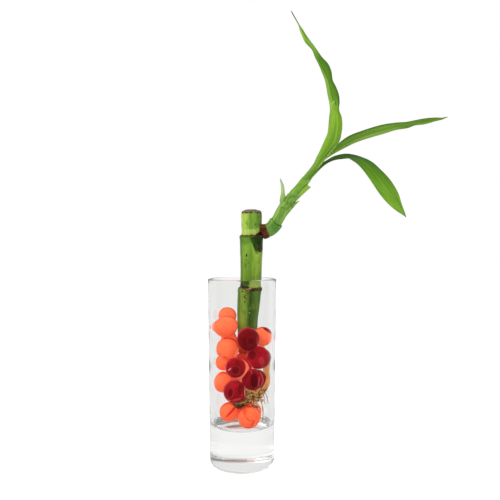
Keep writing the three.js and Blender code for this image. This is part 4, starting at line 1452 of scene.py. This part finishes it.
# fine roots: how many wind beside a root, their least and greatest radius, and their distance from it
STRANDS_A_ROOT = 5
FINE_RADIUS = (0.22, 0.42)
FINE_DISTANCE = (0.7, 1.3)
FINE_CLEARANCE = 0.1
# the one that winds beside a loop
FINE_LOOP_RADIUS = 0.3
FINE_LOOP_DISTANCE = 0.9
# hairs: how many, their radius, and the steps they wander in
HAIRS = 46
HAIR_RADIUS = 0.13
HAIR_CLEARANCE = 0.25
HAIR_STEPS = 7
HAIR_STEP = 0.7
# the middle and half sizes of the pocket that the tangle fills, and how many strands wander in it
POCKET = ((5.4, -6.2, 40.6), (6, 4.4, 4.4))
POCKET_GUIDES = 5
WANDERERS = 30
WANDERER_RADIUS = (0.25, 0.5)
# a wanderer that is thinner than this is an old fine root
OLD_RADIUS = 0.36
ROOT_CLEARANCE = 0.35
# the crown of the roots round the cane: its height, its radius, and where the cane's foot stands
CROWN_HEIGHT = 66
CROWN_RADIUS = 7.7
CANE_FOOT = Vector((3, CANE_DEPTH, 0))
CANE_FOOT_RADIUS = 6.1
print("roots:", len(ROOTS), "loops:", len(LOOPS), "rootlets:", len(ROOTLETS), "hairs:", HAIRS)

# %% Ways round the beads
def keep_off(point, distance):
    """Moves a point out of the cane and back inside the glass."""
    if point.z >= CANE_RINGS[0][0] - distance:
        off = Vector((point.x - CANE_FOOT.x, point.y - CANE_FOOT.y, 0))
        short = CANE_FOOT_RADIUS + distance - off.length
        if short > 0:
            point += off.normalized() * short
    point.z = max(point.z, FLOOR + distance)
    share = (point.z - FLOOR) / (GLASS_HEIGHT - FLOOR)
    reach = inner_foot + share * (inner_rim - inner_foot) - distance - 0.3
    out = math.hypot(point.x, point.y)
    if out > reach:
        point.x *= reach / out
        point.y *= reach / out


def ease(points, clear, turns):
    """Smooths a path and nudges it off the beads, the cane and the glass."""
    for turn in range(turns):
        if turn < turns * 2 / 3:
            for i in range(1, len(points) - 1):
                points[i] = points[i].lerp((points[i - 1] + points[i + 1]) / 2, 0.3)
        for point in points[1:]:
            for middle, bead_radius in beads:
                off = point - middle
                short = bead_radius + clear - off.length
                if short > 0:
                    point += off.normalized() * short
            keep_off(point, clear)
    return points


def root_path(guide, radius):
    """A path through the guide points that clears the beads, the cane and the glass."""
    guide = [Vector(p) for p in guide]
    count = GUIDE_STEPS * (len(guide) - 1)
    path = [smooth(guide, i / count) for i in range(count + 1)]
    return ease(path, radius + ROOT_CLEARANCE, ROOT_TURNS)


def beside(points, distance):
    """A path that winds round another at a distance."""
    turn = draw.uniform(0, 6.3)
    path = [points[0].copy()]
    for i in range(1, len(points)):
        way = points[i] - points[i - 1]
        across = way.cross(Vector((0.3, 1, 0.2))).normalized()
        up = way.cross(across).normalized()
        turn += draw.uniform(-0.1, 0.5)
        path.append(points[i] + (across * math.cos(turn) + up * math.sin(turn)) * distance)
    return path


def hair_path(start):
    """A short path that wanders off from a place on a root."""
    path = [start.copy()]
    way = Vector([draw.gauss(0, 1) for _ in range(3)]).normalized()
    for _ in range(HAIR_STEPS):
        way = (way + Vector([draw.gauss(0, 0.35) for _ in range(3)])).normalized()
        path.append(path[-1] + way * HAIR_STEP)
    return path


def crown_point(side):
    """A place on the crown of the roots."""
    angle = math.radians(side)
    return CANE_FOOT + Vector((CROWN_RADIUS * math.cos(angle), CROWN_RADIUS * math.sin(angle), CROWN_HEIGHT))


# %% A strand
def strand(name, points, radius, tip=0.6, fine=3):
    """A round strand along points, thinner towards its tip."""
    bpy.ops.curve.primitive_nurbs_path_add()
    curve = bpy.context.object
    curve.name = name
    data = curve.data
    data.splines.clear()
    spline = data.splines.new("NURBS")
    spline.points.add(len(points) - 1)
    for i, (node, point) in enumerate(zip(spline.points, points)):
        node.co = (*(point * MM), 1)
        node.radius = radius * (1 + (tip - 1) * i / (len(points) - 1))
    spline.use_endpoint_u = True
    spline.order_u = 3
    data.dimensions = "3D"
    data.bevel_depth = 1 * MM
    data.bevel_resolution = fine
    data.resolution_u = fine + 1
    data.use_fill_caps = True
    bpy.ops.object.convert(target="MESH")
    bpy.ops.object.shade_smooth()
    return bpy.context.object


# %% Grow the roots
draw = random.Random(5)
strands = []
thin_strands = []
hairs = []
paths = []
for side, radius, guide in ROOTS:
    points = root_path([crown_point(side), *guide], radius)
    paths.append(points)
    strands.append(strand("root", points, radius))
    for _ in range(STRANDS_A_ROOT):
        thin = draw.uniform(*FINE_RADIUS)
        winding = beside(points, draw.uniform(*FINE_DISTANCE))
        winding = ease(winding, thin + FINE_CLEARANCE, FINE_TURNS)
        thin_strands.append(strand("fine root", winding, thin, 0.5, 1))
for radius, guide in LOOPS:
    points = root_path(guide, radius)
    paths.append(points)
    strands.append(strand("loop", points, radius))
    winding = beside(points, FINE_LOOP_DISTANCE)
    winding = ease(winding, FINE_LOOP_RADIUS + FINE_CLEARANCE, FINE_TURNS)
    thin_strands.append(strand("fine loop", winding, FINE_LOOP_RADIUS, 0.5, 1))
for _ in range(WANDERERS):
    radius = draw.uniform(*WANDERER_RADIUS)
    guide = [[m + h * draw.uniform(-1, 1) for m, h in zip(*POCKET)] for _ in range(POCKET_GUIDES)]
    points = root_path(sorted(guide, key=lambda p: -p[0]), radius)
    kind = thin_strands if radius < OLD_RADIUS else strands
    kind.append(strand("wanderer", points, radius, 0.6, 2))
for parent, share, radius, guide in ROOTLETS:
    start = paths[parent][round(share * (len(paths[parent]) - 1))]
    strands.append(strand("rootlet", root_path([start, *guide], radius), radius))
for _ in range(HAIRS):
    path = draw.choice(paths)
    start = path[draw.randrange(len(path) // 2, len(path))]
    wandering = ease(hair_path(start), HAIR_CLEARANCE, HAIR_TURNS)
    hairs.append(strand("hair", wandering, HAIR_RADIUS, 0.4, 1))
crown = [crown_point(-45 + 185 * i / 16) for i in range(17)]
strands.append(strand("crown", crown, 0.9, 0.5))
print("thick strands:", len(strands), "thin ones:", len(thin_strands), "hairs:", len(hairs))

# %% [markdown]
# Root skin is smooth and tan to orange-brown, older fine roots are brown with some green algae, and hairs
# are nearly clear. The straight roots beside the wall get painted light: they are painted paler and glow
# more, as if lit through the wall. All roots and hairs get a low painted glow. The tips at the left are
# dark. Mottling could be left out at this size, but without it the tangle looks like wire.

# %% Finish of the roots
STRAIGHT_PAINTED_GLOW = 0.48


def root_bark(name, stops, painted_glow):
    """Root skin with a painted glow, and painted light on the straight roots beside the wall, which are
    paler and glow more, and dark at the left tips.
    """
    material = new_material(name, Roughness=0.55, Specular_IOR_Level=0.15)
    tree = material.node_tree
    place = add_node(tree, "TexCoord", out="Object")
    straight = soft_step(in_mm(place, "Z"), 40.2, 43.8)
    colour = paint(
        add_node(tree, "ValToRGB", grain(place, 0.45, 3), stops=stops),
        # painted light: the straight roots beside the wall are paler
        (straight * 0.7, "#e4a86c"),
        (soft_step(in_mm(place, "X"), 1.5, -1.5) * 0.75, "#3c3c18"),
    )
    finish(material, Base_Color=colour, Emission_Color=colour)
    # painted glow, stronger on the straight roots
    finish(material, Emission_Strength=straight * (STRAIGHT_PAINTED_GLOW - painted_glow) + painted_glow)
    return material


# living water root: smooth, tan to orange-brown
TAN = [(0.39, "#281206"), (0.45, "#9a6430"), (0.52, "#dca25e"), (0.58, "#aca050"), (0.66, "#5a3414")]
# older fine roots: brown, with green algae here and there
BROWN = [(0.36, "#241004"), (0.44, "#70401a"), (0.52, "#c8884c"), (0.6, "#7c782c"), (0.7, "#241f0c")]
HAIR_COLOUR = "#c9bd92"
root_skin = root_bark("tan root skin", TAN, 0.3)
old_skin = root_bark("brown root skin", BROWN, 0.12)
hair_skin = new_material(
    # root hairs: pale, nearly clear, with a painted glow
    "pale root hair",
    Base_Color=HAIR_COLOUR,
    Roughness=0.5,
    Specular_IOR_Level=0.15,
    Emission_Color=HAIR_COLOUR,
    Emission_Strength=0.3,
)
for pieces, skin in ((strands, root_skin), (thin_strands, old_skin), (hairs, hair_skin)):
    for piece in pieces:
        piece.data.materials.append(skin)
roots = join("root_tangle", strands + thin_strands + hairs)
close_up(roots)
put(roots, "roots")

# %% [markdown]
# ## Sizes at the end
#
# The dressed part has to keep the size of the imported one, so both boxes are printed side by side.

# %% Print both sizes
bpy.context.view_layer.update()
low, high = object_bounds()
for axis, name in enumerate("XYZ"):
    print(name, [round(v[axis] / MM, 1) for v in (cad_low, low, cad_high, high)])
